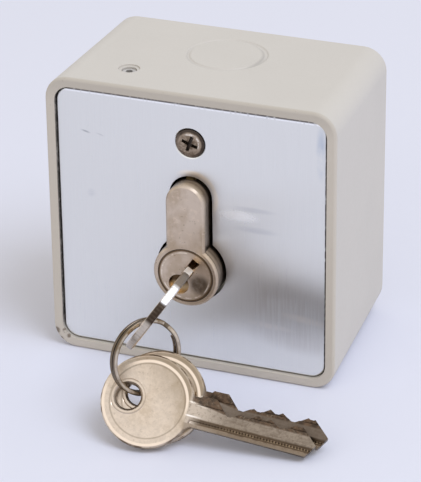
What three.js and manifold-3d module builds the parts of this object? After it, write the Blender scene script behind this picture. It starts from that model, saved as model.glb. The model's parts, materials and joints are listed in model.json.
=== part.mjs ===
// Selector key switch: a surface box with a half-cylinder lock, two microswitches behind it,
// one key in the lock and two spare keys on a split ring.
// Millimetres, +Z up. The front faces -Y. The origin is the centre of the back face, at the wall.

import * as THREE from "three";
import { mergeVertices } from "three/addons/utils/BufferGeometryUtils.js";
import Module from "manifold-3d";

const wasm = await Module();
wasm.setup();

// Clearances
const runningGap = 0.15;
const seatGap = 0.12;
const overrun = 1;

// Housing
const boxWidth = 75;
const boxHeight = 75;
const boxDepth = 45;
const boxCornerRadius = 6;
const boxDraft = 1.28;
const lipWidth = 2.4;
const lipEdgeRadius = 0.7;
const backEdgeRadius = 0.5;
const mouthCornerRadius = 4.2;
const ledgeWidth = 1.6;
const cavityDraft = 0.6;
const cavityCornerRadius = 3;
const backWallThickness = 3;

// Marks and holes in the housing
const knockOutRadius = 10.4;
const knockOutGroove = 1.3;
const knockOutSlope = 0.4;
const knockOutDepth = 0.3;
const knockOutSetback = 27.7;
const wallSlotWidth = 4.4;
const wallSlotLength = 8.4;
const wallSlotInsetX = 19.5;
const wallSlotInsetZ = 9.5;
const cableHoleRadius = 7;
const cableHoleRise = 10.5;

// Front plate, its seal, screw, lug and hooks
const plateRecess = 0.9;
const plateThickness = 1.5;
const plateEdgeGap = 0.3;
const plateEdgeChamfer = 0.25;
const plateLockGap = 0.55;
const sealThickness = 0.8;
const sealWidth = 1.3;
const plateScrewHeight = 24.3;
const plateScrewRadius = 1.9;
const plateScrewLength = 13;
const plateScrewHeadRadius = 3.7;
const plateScrewHeadHeight = 1.9;
const plateScrewDome = 0.45;
const plateSinkRadius = 4.1;
const crossArmLength = 2.1;
const crossArmWidth = 0.85;
const crossDepth = 1.3;
const crossTurn = THREE.MathUtils.degToRad(20);
const bossRadius = 4;
const bossRibWidth = 2.4;
const lugWidth = 9;
const lugBeyondGrub = 1.45;
const lugThickness = 1.5;
const grubX = -19.5;
const grubSetback = 11.1;
const grubRadius = 1.8;
const grubLength = 4.6;
const grubSinkRadius = 2.7;
const grubSinkDepth = 0.45;
const grubInset = 0.8;
const grubSocketRadius = 0.95;
const grubSocketDepth = 1.6;
const hookWidth = 7;
const hookReach = 1.1;
const hookThickness = 1.4;
const hookSpacing = 36;
const hookLength = 2.6;

// Lock cylinder
const lockHeight = -9.6;
const lockSetback = 8.65;
const barrelRadius = 8.5;
const webWidth = 10;
const webHeight = 24.5;
const frontLength = 30;
const rearLength = 10;
const faceChamfer = 0.5;
const camSlotWidth = 10;
const clampScrewHeight = 19.6;
const clampScrewRadius = 2.4;
const clampScrewEnd = 1.2;
const clampHeadRadius = 3.9;
const clampHeadHeight = 2.4;

// Plug, cam and clip
const plugRadius = 6.5;
const plugFlangeRadius = 7.1;
const plugFlangeThickness = 1;
const plugTurn = THREE.MathUtils.degToRad(34.1);
const tailRadius = 4.4;
const tailFlat = 3.5;
const tailEnd = 1.2;
const keyEntryRadius = 2.65;
const keyEntryDepth = 1.4;
const keyEntryOffset = 3.2;
const keywayTop = 5.2;
const camHubRadius = 8.3;
const camWidth = 9.6;
const camTipRadius = 3;
const camReach = 15;
const camRootHalfWidth = 4.6;
const clipThickness = 0.8;
const clipRadius = 5.8;
const clipGrooveRadius = 3.7;
const clipOpening = THREE.MathUtils.degToRad(70);

// Pin stacks
const pinCount = 4;
const chamberRadius = 1.45;
const pinRadius = 1.3;
const keyPinTipRadius = 0.55;
const driverPinLength = 4.6;
const driverNeckRadius = 0.95;
const chamberPlugLength = 2.6;
const springWire = 0.14;
const springTurns = 5;
const springStepsPerTurn = 8;
const springSides = 5;
const springSelfGap = 0.42;

// Key
const keyThickness = 2;
const bowRadius = 11.4;
const bowRimWidth = 2.3;
const bowRimSlope = 0.5;
const bowFaceRecess = 0.2;
const bowEdgeRound = 0.35;
const ringHoleRadius = 3.05;
const ringHoleOffset = 4.8;
const ringHoleChamfer = 0.55;
const ringHoleCollar = 1.15;
const bladeRoot = 8.3;
const bladeTip = 41.8;
const bladeTipDrop = 0.45;
const bladeTipFlat = 0.3;
const bladeSpine = 3.5;
const bowFillet = 1.6;
const bladeTop = 4;
const toothCrest = 3.6;
const spineRampLength = 1.9;
const tipRampLength = 3.9;
const shoulderStart = 12.7;
const shoulderEnd = 16.3;
const shoulderHeight = 4.5;
const shoulderRamp = 0.4;
const firstCut = 20;
const cutPitch = 4.28;
const cutFlat = 0.9;
const cutSlope = 0.6;
const cutDepths = [2.9, 2, 1.45, 2.4, 0.9];
const bladeInsertion = 22.85;
const millingStart = 9.5;
const millingRunIn = 4.6;
const millingTrace = 0.01;
const edgeGrooveLow = -2.75;
const edgeGrooveLedge = -1.95;
const edgeGrooveHigh = -0.95;
const edgeGrooveDepth = 0.7;
const edgeLedgeDepth = 0.42;
const grooveRun = 0.12;
const bittingStepLow = 2.1;
const bittingStepDepth = 0.65;
const bittingTopDepth = 0.15;
const bittingStepRun = 0.3;
const backGrooveLow = -0.6;
const backGrooveHigh = 1.5;
const backGrooveDepth = 0.55;
const keywayGap = 0.15;

// Split ring: two flat coils joined by one climb
const ringRadius = 9.06;
const ringWireRadial = 1.16;
const ringWireAxial = 0.8;
const ringCoilPitch = 1.22;
const ringStepsPerTurn = 24;
const ringClimbStart = THREE.MathUtils.degToRad(18);
const ringClimbEnd = THREE.MathUtils.degToRad(52);

// How the ring and the spare keys hang: turn about the vertical, lean back, and droop of the tip
const ringYaw = THREE.MathUtils.degToRad(54.96);
const ringLean = THREE.MathUtils.degToRad(8.61);
const spareYaw = THREE.MathUtils.degToRad(12.46);
const spareLean = THREE.MathUtils.degToRad(40.79);
const frontKeyDroop = THREE.MathUtils.degToRad(11.08);
const rearKeyDroop = THREE.MathUtils.degToRad(9.85);
const lockKeyCrossing = THREE.MathUtils.degToRad(74.51);
const frontKeyCrossing = THREE.MathUtils.degToRad(235.16);
const rearKeyCrossing = THREE.MathUtils.degToRad(255.41);
const lockKeySeat = [0.52, -0.44];
const frontKeySeat = [0.14, 1.37];
const rearKeySeat = [0.21, 0.15];

// Switch carrier
const carrierThickness = 2;
const carrierSideRoom = 2.5;
const carrierTopRoom = 3.1;
const carrierBottomRoom = 0.5;
const carrierCorner = 3;
const carrierWindowGap = 0.5;
const cableNotchSideRoom = 1;
const postRadius = 3.5;
const postInset = 4.5;
const postRise = 5;
const carrierScrewRadius = 1.2;
const carrierScrewLength = 9;
const carrierScrewHeadRadius = 2.8;
const carrierScrewHeadHeight = 1.7;
const earThickness = 3;
const earBottom = 15.6;
const earTop = 23.8;
const earLength = 9.6;
const stopWidth = 1;
const stopHeight = 4;
const stopReach = 2.6;

// Microswitches, measured outwards from the lock's middle plane
const caseLength = 19.8;
const caseDepth = 10.2;
const caseThickness = 6.4;
const caseEdge = 0.4;
const caseFaceGap = 1.25;
const caseRise = 3.6;
const caseHoleSpacing = 9.5;
const caseHoleInset = 2.9;
const caseHoleRadius = 1.2;
const camLeverGap = 0.25;
const leverThickness = 0.4;
const leverWidth = 3.6;
const leverHingeRise = 1.6;
const leverHingeInset = 0.55;
const leverOverhang = 3.6;
const leverPinRadius = 0.38;
const leverTravel = THREE.MathUtils.degToRad(10);
const hingeEarRadius = 1.05;
const hingeEarThickness = 1.05;
const buttonDrop = 5;
const buttonWidth = 2.6;
const buttonHeight = 1.8;
const buttonLength = 2.8;
const buttonTravel = 1;
const tabWidth = 3.2;
const tabThickness = 0.5;
const tabReachShare = 0.55;
const tabSeat = 2;
const tabSpacing = 7.2;
const tabHoleRadius = 0.7;
const switchScrewRadius = 1.05;
const switchScrewHeadRadius = 1.9;
const switchScrewHeadHeight = 1.2;
const padHalfWidth = 2.6;
const padHeight = 2.25;

// Facets
const fineSides = 40;
const roundSides = 32;
const holeSides = 24;
const smallSides = 16;
const screwSides = 10;
const cornerSteps = 8;
const runInSteps = 5;

// Places worked out from the sizes above
const halfWidth = boxWidth / 2;
const halfHeight = boxHeight / 2;
const frontY = -boxDepth;
const plateFrontY = frontY + plateRecess;
const plateBackY = plateFrontY + plateThickness;
const ledgeY = plateBackY + sealThickness + 2 * seatGap;
const mouthHalfWidth = halfWidth - lipWidth;
const mouthHalfHeight = halfHeight - lipWidth;
const cavityHalfWidth = mouthHalfWidth - ledgeWidth;
const cavityHalfHeight = mouthHalfHeight - ledgeWidth;
const cavityBackY = -backWallThickness;
const grubY = frontY + grubSetback;
const lugEndY = grubY + grubRadius + lugBeyondGrub;
const slotX = halfWidth - wallSlotInsetX;
const slotZ = halfHeight - wallSlotInsetZ;
const cableHoleHeight = cableHoleRise - halfHeight;
const lockRearY = -lockSetback;
const lockFaceY = lockRearY - rearLength - frontLength;
const camMiddleY = lockFaceY + frontLength;
const camSlotFrontY = camMiddleY - camSlotWidth / 2;
const camSlotRearY = camMiddleY + camSlotWidth / 2;
const keyCentreY = lockFaceY + bladeInsertion - bladeTip;
const camTipCentre = camReach - camTipRadius;
const camSideReach = camTipCentre * Math.sin(plugTurn) + camTipRadius;
const camContactDrop = camTipCentre * Math.cos(plugTurn);
const leverInner = camSideReach + camLeverGap;
const caseFace = leverInner + caseFaceGap;
const caseBack = caseFace + caseDepth;
const leverHinge = caseFace - leverHingeInset;
const leverLength = leverHingeRise + camContactDrop;
const leverRestAngle = Math.atan((leverHinge - leverInner - leverThickness / 2) / leverLength);
const switchFrontY = camMiddleY - caseThickness / 2;
const switchBackY = camMiddleY + caseThickness / 2;
const carrierFrontY = switchBackY + padHeight;
const carrierBackY = carrierFrontY + carrierThickness;
const carrierHalfWidth = cavityHalfWidth - carrierSideRoom;
const carrierTop = lockHeight + webHeight + carrierTopRoom;
const carrierBottom = carrierBottomRoom - cavityHalfHeight;
const cableNotchHalfWidth = cableHoleRadius + cableNotchSideRoom;
const postX = carrierHalfWidth - postInset;
const postTopZ = carrierTop - postRise;
const postBottomZ = carrierBottom + postRise;

// Closed meshes and their joins and cuts

function toSolid(geometry) {
  const bare = new THREE.BufferGeometry();
  bare.setAttribute("position", geometry.getAttribute("position"));
  if (geometry.index) bare.setIndex(geometry.index);
  const merged = mergeVertices(bare);
  const points = merged.getAttribute("position").array;
  const corners = merged.index.array;
  const kept = [];
  let volume = 0;
  const a = new THREE.Vector3();
  const b = new THREE.Vector3();
  const c = new THREE.Vector3();
  for (let i = 0; i < corners.length; i += 3) {
    const [p, q, r] = [corners[i], corners[i + 1], corners[i + 2]];
    if (p === q || q === r || r === p) continue;
    kept.push(p, q, r);
    a.fromArray(points, 3 * p);
    b.fromArray(points, 3 * q);
    c.fromArray(points, 3 * r);
    volume += a.dot(b.cross(c));
  }
  if (volume < 0) kept.reverse();
  return new wasm.Manifold(new wasm.Mesh({
    numProp: 3,
    vertProperties: new Float32Array(points),
    triVerts: new Uint32Array(kept),
  }));
}

function fromSolid(solid) {
  const mesh = solid.getMesh();
  const geometry = new THREE.BufferGeometry();
  geometry.setAttribute("position", new THREE.BufferAttribute(Float32Array.from(mesh.vertProperties), 3));
  geometry.setIndex(Array.from(mesh.triVerts));
  return geometry;
}

function join(...parts) {
  return fromSolid(parts.map(toSolid).reduce((whole, part) => whole.add(part)));
}

function cut(base, ...tools) {
  return fromSolid(tools.map(toSolid).reduce((whole, tool) => whole.subtract(tool), toSolid(base)));
}

function common(first, second) {
  return fromSolid(toSolid(first).intersect(toSolid(second)));
}

// Outlines lie in a plane of two axes and are lists of [across, up]

function arc(acrossCentre, upCentre, radius, from, to, steps) {
  const points = [];
  for (let i = 0; i <= steps; i++) {
    const angle = from + ((to - from) * i) / steps;
    points.push([acrossCentre + radius * Math.cos(angle), upCentre + radius * Math.sin(angle)]);
  }
  return points;
}

function roundedRectangle(halfAcross, halfUp, radius, steps = cornerSteps) {
  const quarter = Math.PI / 2;
  const across = halfAcross - radius;
  const up = halfUp - radius;
  return [
    ...arc(across, up, radius, 0, quarter, steps),
    ...arc(-across, up, radius, quarter, 2 * quarter, steps),
    ...arc(-across, -up, radius, 2 * quarter, 3 * quarter, steps),
    ...arc(across, -up, radius, 3 * quarter, 4 * quarter, steps),
  ];
}

function shapeOf(points, ...holes) {
  const toVectors = (list) => list.map(([across, up]) => new THREE.Vector2(across, up));
  const shape = new THREE.Shape(toVectors(points));
  shape.holes = holes.map((hole) => new THREE.Path(toVectors(hole)));
  return shape;
}

// Extrudes an outline of [x, z] from one y to another
function prismY(points, fromY, toY, ...holes) {
  const geometry = new THREE.ExtrudeGeometry(shapeOf(points, ...holes), {
    depth: toY - fromY,
    bevelEnabled: false,
  });
  geometry.rotateX(Math.PI / 2);
  geometry.translate(0, toY, 0);
  return geometry;
}

// Joins outlines of [x, z] with the same number of points, each at its own y
function loftY(sections) {
  const count = sections[0].points.length;
  const positions = [];
  for (const { y, points } of sections) {
    for (const [x, z] of points) positions.push(x, y, z);
  }
  const index = [];
  for (let s = 0; s + 1 < sections.length; s++) {
    for (let i = 0; i < count; i++) {
      const near = s * count + i;
      const nearNext = s * count + ((i + 1) % count);
      index.push(near, near + count, nearNext + count, near, nearNext + count, nearNext);
    }
  }
  const last = (sections.length - 1) * count;
  const toVectors = ({ points }) => points.map(([across, up]) => new THREE.Vector2(across, up));
  for (const [a, b, c] of THREE.ShapeUtils.triangulateShape(toVectors(sections[0]), [])) index.push(a, b, c);
  for (const [a, b, c] of THREE.ShapeUtils.triangulateShape(toVectors(sections[sections.length - 1]), [])) {
    index.push(last + a, last + c, last + b);
  }
  const geometry = new THREE.BufferGeometry();
  geometry.setAttribute("position", new THREE.Float32BufferAttribute(positions, 3));
  geometry.setIndex(index);
  return geometry;
}

function block(x0, x1, y0, y1, z0, z1) {
  const geometry = new THREE.BoxGeometry(Math.abs(x1 - x0), y1 - y0, z1 - z0);
  geometry.translate((x0 + x1) / 2, (y0 + y1) / 2, (z0 + z1) / 2);
  return geometry;
}

// Revolves a profile of [radius, along] about the y axis
function turnedY(profile, sides = roundSides) {
  return new THREE.LatheGeometry(profile.map(([radius, along]) => new THREE.Vector2(radius, along)), sides);
}

function rodY(radius, fromY, toY, x, z, sides = roundSides) {
  const geometry = new THREE.CylinderGeometry(radius, radius, toY - fromY, sides);
  geometry.translate(x, (fromY + toY) / 2, z);
  return geometry;
}

function rodX(radius, fromX, toX, y, z, sides = smallSides) {
  const geometry = new THREE.CylinderGeometry(radius, radius, Math.abs(toX - fromX), sides);
  geometry.rotateZ(Math.PI / 2);
  geometry.translate((fromX + toX) / 2, y, z);
  return geometry;
}

function rodZ(radius, fromZ, toZ, x, y, sides = smallSides) {
  const geometry = new THREE.CylinderGeometry(radius, radius, toZ - fromZ, sides);
  geometry.rotateX(Math.PI / 2);
  geometry.translate(x, y, (fromZ + toZ) / 2);
  return geometry;
}

function finish(colour, roughness, metalness) {
  return () => new THREE.MeshStandardMaterial({ color: colour, roughness, metalness });
}

const moulding = finish(0xcbc6c0, 0.55, 0);
const brushedPlate = finish(0xc8cdd5, 0.32, 1);
const satinNickel = finish(0xbfae9c, 0.3, 1);
const keyMetal = finish(0xc9b79a, 0.34, 1);
const brassMetal = finish(0xb98d3e, 0.35, 1);
const steel = finish(0x9fa1a4, 0.35, 1);
const darkSteel = finish(0x6f6a66, 0.4, 1);
const blackRubber = finish(0x222222, 0.85, 0);
const greyPlastic = finish(0x55595e, 0.6, 0);
const blackPlastic = finish(0x1f2022, 0.5, 0);
const redPlastic = finish(0xa33a2c, 0.45, 0);

function place(parent, name, geometry, material) {
  geometry.computeVertexNormals();
  const mesh = new THREE.Mesh(geometry, material());
  mesh.name = name;
  parent.add(mesh);
  return mesh;
}

// Housing

function draftAt(y) {
  return (boxDraft * (y + boxDepth)) / boxDepth;
}

function housingSection(y, inset) {
  const drawn = draftAt(y) + inset;
  const points = roundedRectangle(halfWidth - drawn, halfHeight - drawn, boxCornerRadius - inset);
  return { y, points };
}

function housingShell() {
  const sections = [];
  const edgeSteps = 3;
  for (let i = 0; i <= edgeSteps; i++) {
    const angle = (Math.PI / 2) * (i / edgeSteps);
    const inset = lipEdgeRadius * (1 - Math.sin(angle));
    sections.push(housingSection(frontY + lipEdgeRadius * (1 - Math.cos(angle)), inset));
  }
  for (let i = 0; i <= edgeSteps; i++) {
    const angle = (Math.PI / 2) * (i / edgeSteps);
    const inset = backEdgeRadius * (1 - Math.cos(angle));
    sections.push(housingSection(backEdgeRadius * (Math.sin(angle) - 1), inset));
  }
  return loftY(sections);
}

function housingCavity() {
  const back = cavityDraft;
  return loftY([
    {
      y: ledgeY - overrun,
      points: roundedRectangle(cavityHalfWidth, cavityHalfHeight, cavityCornerRadius),
    },
    {
      y: cavityBackY,
      points: roundedRectangle(cavityHalfWidth - back, cavityHalfHeight - back, cavityCornerRadius),
    },
  ]);
}

function postPlaces() {
  return [
    [postX, postTopZ],
    [-postX, postTopZ],
    [-postX, postBottomZ],
    [postX, postBottomZ],
  ];
}

function hookPlaces() {
  return [-hookSpacing / 2, hookSpacing / 2];
}

function knockOutMark() {
  const inner = knockOutRadius - knockOutGroove;
  const ring = turnedY([
    [inner, overrun],
    [inner, 0],
    [inner + knockOutSlope, -knockOutDepth],
    [knockOutRadius - knockOutSlope, -knockOutDepth],
    [knockOutRadius, 0],
    [knockOutRadius, overrun],
    [inner, overrun],
  ], fineSides);
  ring.rotateX(Math.PI / 2 - Math.atan(boxDraft / boxDepth));
  const y = frontY + knockOutSetback;
  ring.translate(0, y, halfHeight - draftAt(y));
  return ring;
}

function wallSlot(x, z) {
  const straight = (wallSlotLength - wallSlotWidth) / 2;
  const radius = wallSlotWidth / 2;
  const points = [
    ...arc(x, z + straight, radius, 0, Math.PI, smallSides / 2),
    ...arc(x, z - straight, radius, Math.PI, 2 * Math.PI, smallSides / 2),
  ];
  return prismY(points, cavityBackY - overrun, overrun);
}

function grubTop() {
  return halfHeight - draftAt(grubY);
}

function housing() {
  const lugTop = cavityHalfHeight + ledgeWidth;
  const bossFrontY = plateBackY + seatGap;
  const additions = [
    rodY(bossRadius, bossFrontY, cavityBackY + overrun, 0, plateScrewHeight),
    block(
      -bossRibWidth / 2, bossRibWidth / 2,
      ledgeY + lipWidth, cavityBackY + overrun,
      plateScrewHeight, cavityHalfHeight + overrun,
    ),
    ...postPlaces().map(([x, z]) => rodY(
      postRadius, carrierBackY + seatGap, cavityBackY + overrun, x, z, smallSides,
    )),
  ];
  const openings = [
    knockOutMark(),
    rodZ(grubRadius + runningGap, cavityHalfHeight - overrun, halfHeight + overrun, grubX, grubY, roundSides),
    rodZ(grubSinkRadius, grubTop() - grubSinkDepth, halfHeight + overrun, grubX, grubY, roundSides),
    block(
      grubX - lugWidth / 2 - plateEdgeGap, grubX + lugWidth / 2 + plateEdgeGap,
      ledgeY - overrun, lugEndY + plateEdgeGap,
      cavityHalfHeight - overrun, lugTop,
    ),
    rodY(plateScrewRadius + runningGap, bossFrontY - overrun, bossFrontY + plateScrewLength, 0, plateScrewHeight),
    rodY(cableHoleRadius, cavityBackY - overrun, overrun, 0, cableHoleHeight),
    wallSlot(slotX, slotZ),
    wallSlot(-slotX, slotZ),
    wallSlot(slotX, -slotZ),
    wallSlot(-slotX, -slotZ),
    ...postPlaces().map(([x, z]) => rodY(
      carrierScrewRadius + runningGap / 2,
      carrierBackY - overrun, carrierBackY + carrierScrewLength - carrierThickness,
      x, z, smallSides,
    )),
    ...hookPlaces().map((x) => block(
      x - hookWidth / 2 - plateEdgeGap, x + hookWidth / 2 + plateEdgeGap,
      ledgeY - overrun, plateBackY + hookLength + hookThickness + plateEdgeGap,
      -cavityHalfHeight - hookReach, -cavityHalfHeight + overrun,
    )),
  ];
  const mouth = loftY([frontY - overrun, ledgeY].map((y) => ({
    y,
    points: roundedRectangle(mouthHalfWidth, mouthHalfHeight, mouthCornerRadius),
  })));
  return cut(join(cut(housingShell(), mouth, housingCavity()), ...additions), ...openings);
}

// Front plate, its seal and its two screws

function lockProfile(gap) {
  const radius = barrelRadius + gap;
  const half = webWidth / 2 + gap;
  const meet = Math.acos(half / radius);
  return [
    ...arc(0, webHeight - webWidth / 2, half, 0, Math.PI, smallSides),
    ...arc(0, 0, radius, Math.PI - meet, 2 * Math.PI + meet, roundSides),
  ];
}

function lifted(points, rise) {
  return points.map(([across, up]) => [across, up + rise]);
}

function frontPlate() {
  const across = mouthHalfWidth - plateEdgeGap;
  const up = mouthHalfHeight - plateEdgeGap;
  const radius = mouthCornerRadius - plateEdgeGap;
  const section = (y, inset) => ({ y, points: roundedRectangle(across - inset, up - inset, radius - inset) });
  const sheet = loftY([
    section(plateFrontY, plateEdgeChamfer),
    section(plateFrontY + plateEdgeChamfer, 0),
    section(plateBackY, 0),
  ]);
  const lugTop = cavityHalfHeight + ledgeWidth - plateEdgeGap;
  const hookOuter = -cavityHalfHeight + seatGap + plateEdgeGap;
  const hooks = hookPlaces().flatMap((x) => [
    block(
      x - hookWidth / 2, x + hookWidth / 2,
      plateBackY - plateThickness / 2, plateBackY + hookLength + hookThickness,
      hookOuter, hookOuter + hookThickness,
    ),
    block(
      x - hookWidth / 2, x + hookWidth / 2,
      plateBackY + hookLength, plateBackY + hookLength + hookThickness,
      hookOuter - hookReach, hookOuter + hookThickness,
    ),
  ]);
  const lug = block(
    grubX - lugWidth / 2, grubX + lugWidth / 2,
    plateBackY - plateThickness / 2, lugEndY,
    lugTop - lugThickness, lugTop,
  );
  const sink = turnedY([
    [0, plateFrontY - overrun],
    [plateSinkRadius, plateFrontY - overrun],
    [plateSinkRadius, plateFrontY],
    [plateScrewRadius + runningGap, plateBackY],
    [plateScrewRadius + runningGap, plateBackY + overrun],
    [0, plateBackY + overrun],
  ]);
  sink.translate(0, 0, plateScrewHeight);
  return cut(
    join(sheet, lug, ...hooks),
    prismY(lifted(lockProfile(plateLockGap), lockHeight), plateFrontY - overrun, plateBackY + overrun),
    sink,
    rodZ(grubRadius - runningGap, lugTop - lugThickness - overrun, lugTop + overrun, grubX, grubY),
  );
}

function plateSeal() {
  const across = mouthHalfWidth - plateEdgeGap;
  const up = mouthHalfHeight - plateEdgeGap;
  const radius = mouthCornerRadius - plateEdgeGap;
  const frame = prismY(
    roundedRectangle(across, up, radius),
    plateBackY + seatGap, ledgeY - seatGap,
    roundedRectangle(across - sealWidth, up - sealWidth, radius - sealWidth / 2),
  );
  const lugGap = block(
    grubX - lugWidth / 2 - plateEdgeGap, grubX + lugWidth / 2 + plateEdgeGap,
    plateBackY, ledgeY,
    up - sealWidth - overrun, up + overrun,
  );
  return cut(frame, lugGap);
}

function crossRecess(depth, armLength, armWidth) {
  const arms = [0, Math.PI / 2].map((turn) => {
    const arm = new THREE.BoxGeometry(2 * armLength, depth + overrun, armWidth);
    arm.translate(0, (depth - overrun) / 2, 0);
    arm.rotateY(turn);
    return arm;
  });
  return join(...arms);
}

function plateScrew() {
  const domeSteps = 4;
  const face = plateFrontY - plateScrewDome;
  const profile = [[0, face]];
  for (let i = 1; i <= domeSteps; i++) {
    const out = i / domeSteps;
    profile.push([plateScrewHeadRadius * out, face + plateScrewDome * out * out]);
  }
  const taper = (plateScrewHeadHeight * (plateScrewHeadRadius - plateScrewRadius)) / plateScrewHeadRadius;
  profile.push([plateScrewHeadRadius, plateFrontY + seatGap]);
  profile.push([plateScrewRadius, plateFrontY + seatGap + taper]);
  profile.push([plateScrewRadius, plateBackY + plateScrewLength - seatGap]);
  profile.push([0, plateBackY + plateScrewLength - seatGap]);
  const recess = crossRecess(crossDepth, crossArmLength, crossArmWidth);
  recess.rotateY(crossTurn);
  recess.translate(0, face, 0);
  const screw = cut(turnedY(profile), recess);
  screw.translate(0, 0, plateScrewHeight);
  return screw;
}

function grubScrew() {
  const top = grubTop() - grubInset;
  const lugTop = cavityHalfHeight + ledgeWidth - plateEdgeGap;
  const neck = grubRadius - 2 * runningGap;
  return cut(
    join(
      rodZ(grubRadius, lugTop + seatGap, top, grubX, grubY),
      rodZ(neck, top - grubLength, top - seatGap, grubX, grubY),
    ),
    rodZ(grubSocketRadius, top - grubSocketDepth, top + overrun, grubX, grubY, 6),
  );
}

// Lock cylinder, about the lock's own axis

function pinStations() {
  const mouth = firstCut + cutPitch - (bladeTip - bladeInsertion);
  return Array.from({ length: pinCount }, (_, i) => lockFaceY + mouth + cutPitch * i);
}

function cylinderBody() {
  const body = new THREE.ExtrudeGeometry(shapeOf(lockProfile(-faceChamfer)), {
    depth: frontLength + rearLength - 2 * faceChamfer,
    bevelEnabled: true,
    bevelThickness: faceChamfer,
    bevelSize: faceChamfer,
    bevelSegments: 1,
  });
  body.rotateX(Math.PI / 2);
  body.translate(0, lockRearY - faceChamfer, 0);
  const bore = plugRadius + runningGap;
  return cut(
    body,
    rodY(bore, lockFaceY - overrun, lockRearY + overrun, 0, 0, fineSides),
    rodY(plugFlangeRadius + runningGap, lockFaceY - overrun, lockFaceY + plugFlangeThickness + seatGap, 0, 0, fineSides),
    block(
      -barrelRadius - overrun, barrelRadius + overrun,
      camSlotFrontY, camSlotRearY,
      -barrelRadius - overrun, camHubRadius + 2 * runningGap,
    ),
    ...pinStations().map((y) => rodZ(chamberRadius, 0, webHeight + overrun, 0, y, smallSides)),
    rodX(clampScrewRadius + runningGap, -webWidth, webWidth, camMiddleY, clampScrewHeight),
  );
}

// The blade across its length as [through the key, up], where the cutters stand lift above full depth
function bladeSection(gap, lift = 0) {
  const front = keyThickness / 2 + gap;
  const back = -front;
  const sunk = (depth) => Math.max(depth - lift, millingTrace);
  const edgeGroove = front - sunk(edgeGrooveDepth);
  const edgeLedge = front - sunk(edgeLedgeDepth);
  const bitting = front - sunk(bittingStepDepth);
  const bittingTop = front - sunk(bittingTopDepth);
  const backGroove = back + sunk(backGrooveDepth);
  return [
    [front, -bladeSpine - gap],
    [front, edgeGrooveLow + gap],
    [edgeGroove, edgeGrooveLow + grooveRun + gap],
    [edgeGroove, edgeGrooveLedge - gap],
    [edgeLedge, edgeGrooveLedge + grooveRun - gap],
    [front, edgeGrooveHigh - gap],
    [front, bittingStepLow + gap],
    [bitting, bittingStepLow + bittingStepRun + gap],
    [bittingTop, shoulderHeight + gap],
    [back, shoulderHeight + gap],
    [back, backGrooveHigh + grooveRun - gap],
    [backGroove, backGrooveHigh - gap],
    [backGroove, backGrooveLow + gap],
    [back, backGrooveLow - grooveRun + gap],
    [back, -bladeSpine - gap],
  ];
}

function plug() {
  const tailY = lockRearY - tailEnd;
  const core = join(
    rodY(plugFlangeRadius, lockFaceY, lockFaceY + plugFlangeThickness, 0, 0, fineSides),
    rodY(plugRadius, lockFaceY, camSlotFrontY, 0, 0, fineSides),
    common(
      rodY(tailRadius, camSlotFrontY - overrun, tailY, 0, 0),
      block(-tailFlat, tailFlat, camSlotFrontY - overrun, tailY, -tailRadius, tailRadius),
    ),
  );
  const clipY = camMiddleY + camWidth / 2 + seatGap;
  const groove = cut(
    rodY(tailRadius + overrun, clipY, clipY + clipThickness + seatGap, 0, 0),
    rodY(clipGrooveRadius - runningGap, clipY - overrun, clipY + clipThickness + overrun, 0, 0),
  );
  const keyway = bladeSection(keywayGap);
  const top = keyway.findIndex(([, up]) => up > bladeTop);
  keyway.splice(top + 1, 0, [keyway[top][0], keywayTop], [keyway[top + 1][0], keywayTop]);
  return cut(
    core,
    groove,
    prismY(keyway, lockFaceY - overrun, lockFaceY + bladeInsertion + seatGap),
    rodY(keyEntryRadius, lockFaceY - overrun, lockFaceY + keyEntryDepth, 0, -keyEntryOffset),
    ...pinStations().map((y) => rodZ(chamberRadius, 0, plugRadius + overrun, 0, y)),
  );
}

function cam() {
  const tip = arc(0, -camTipCentre, camTipRadius, -Math.PI, 0, smallSides);
  const nose = [...tip, [camRootHalfWidth, 0], [-camRootHalfWidth, 0]];
  const fromY = camMiddleY - camWidth / 2;
  const toY = camMiddleY + camWidth / 2;
  const bore = common(
    rodY(tailRadius + runningGap, fromY - overrun, toY + overrun, 0, 0),
    block(
      -tailFlat - runningGap, tailFlat + runningGap,
      fromY - overrun, toY + overrun,
      -tailRadius - overrun, tailRadius + overrun,
    ),
  );
  return cut(join(rodY(camHubRadius, fromY, toY, 0, 0), prismY(nose, fromY, toY)), bore);
}

function plugClip() {
  const fromY = camMiddleY + camWidth / 2 + 1.5 * seatGap;
  const start = Math.PI / 2 + clipOpening / 2;
  const end = 2 * Math.PI + Math.PI / 2 - clipOpening / 2;
  const points = [
    ...arc(0, 0, clipRadius, start, end, roundSides),
    ...arc(0, 0, clipGrooveRadius, end, start, roundSides),
  ];
  return prismY(points, fromY, fromY + clipThickness);
}

function keyPin(y) {
  const tip = toothCrest + 2 * runningGap;
  const shear = plugRadius - runningGap;
  const cone = pinRadius - keyPinTipRadius;
  const pin = turnedY([
    [0, tip],
    [keyPinTipRadius, tip],
    [pinRadius, tip + cone],
    [pinRadius, shear - cone],
    [0, shear],
  ], smallSides);
  pin.rotateX(Math.PI / 2);
  pin.translate(0, y, 0);
  return pin;
}

function driverPin(y) {
  const foot = plugRadius + 2 * runningGap;
  const head = foot + driverPinLength;
  const collar = driverPinLength / 3;
  const pin = turnedY([
    [0, foot],
    [pinRadius, foot],
    [pinRadius, foot + collar],
    [driverNeckRadius, foot + collar],
    [driverNeckRadius, head],
    [0, head],
  ], smallSides);
  pin.rotateX(Math.PI / 2);
  pin.translate(0, y, 0);
  return pin;
}

// A coil of even pitch between the driver's collar and the chamber's plug
class CoilPath extends THREE.Curve {
  constructor(radius, turns, length) {
    super();
    this.radius = radius;
    this.turns = turns;
    this.length = length;
  }

  getPoint(t) {
    const angle = 2 * Math.PI * this.turns * t;
    return new THREE.Vector3(this.radius * Math.cos(angle), this.radius * Math.sin(angle), this.length * t);
  }
}

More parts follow.
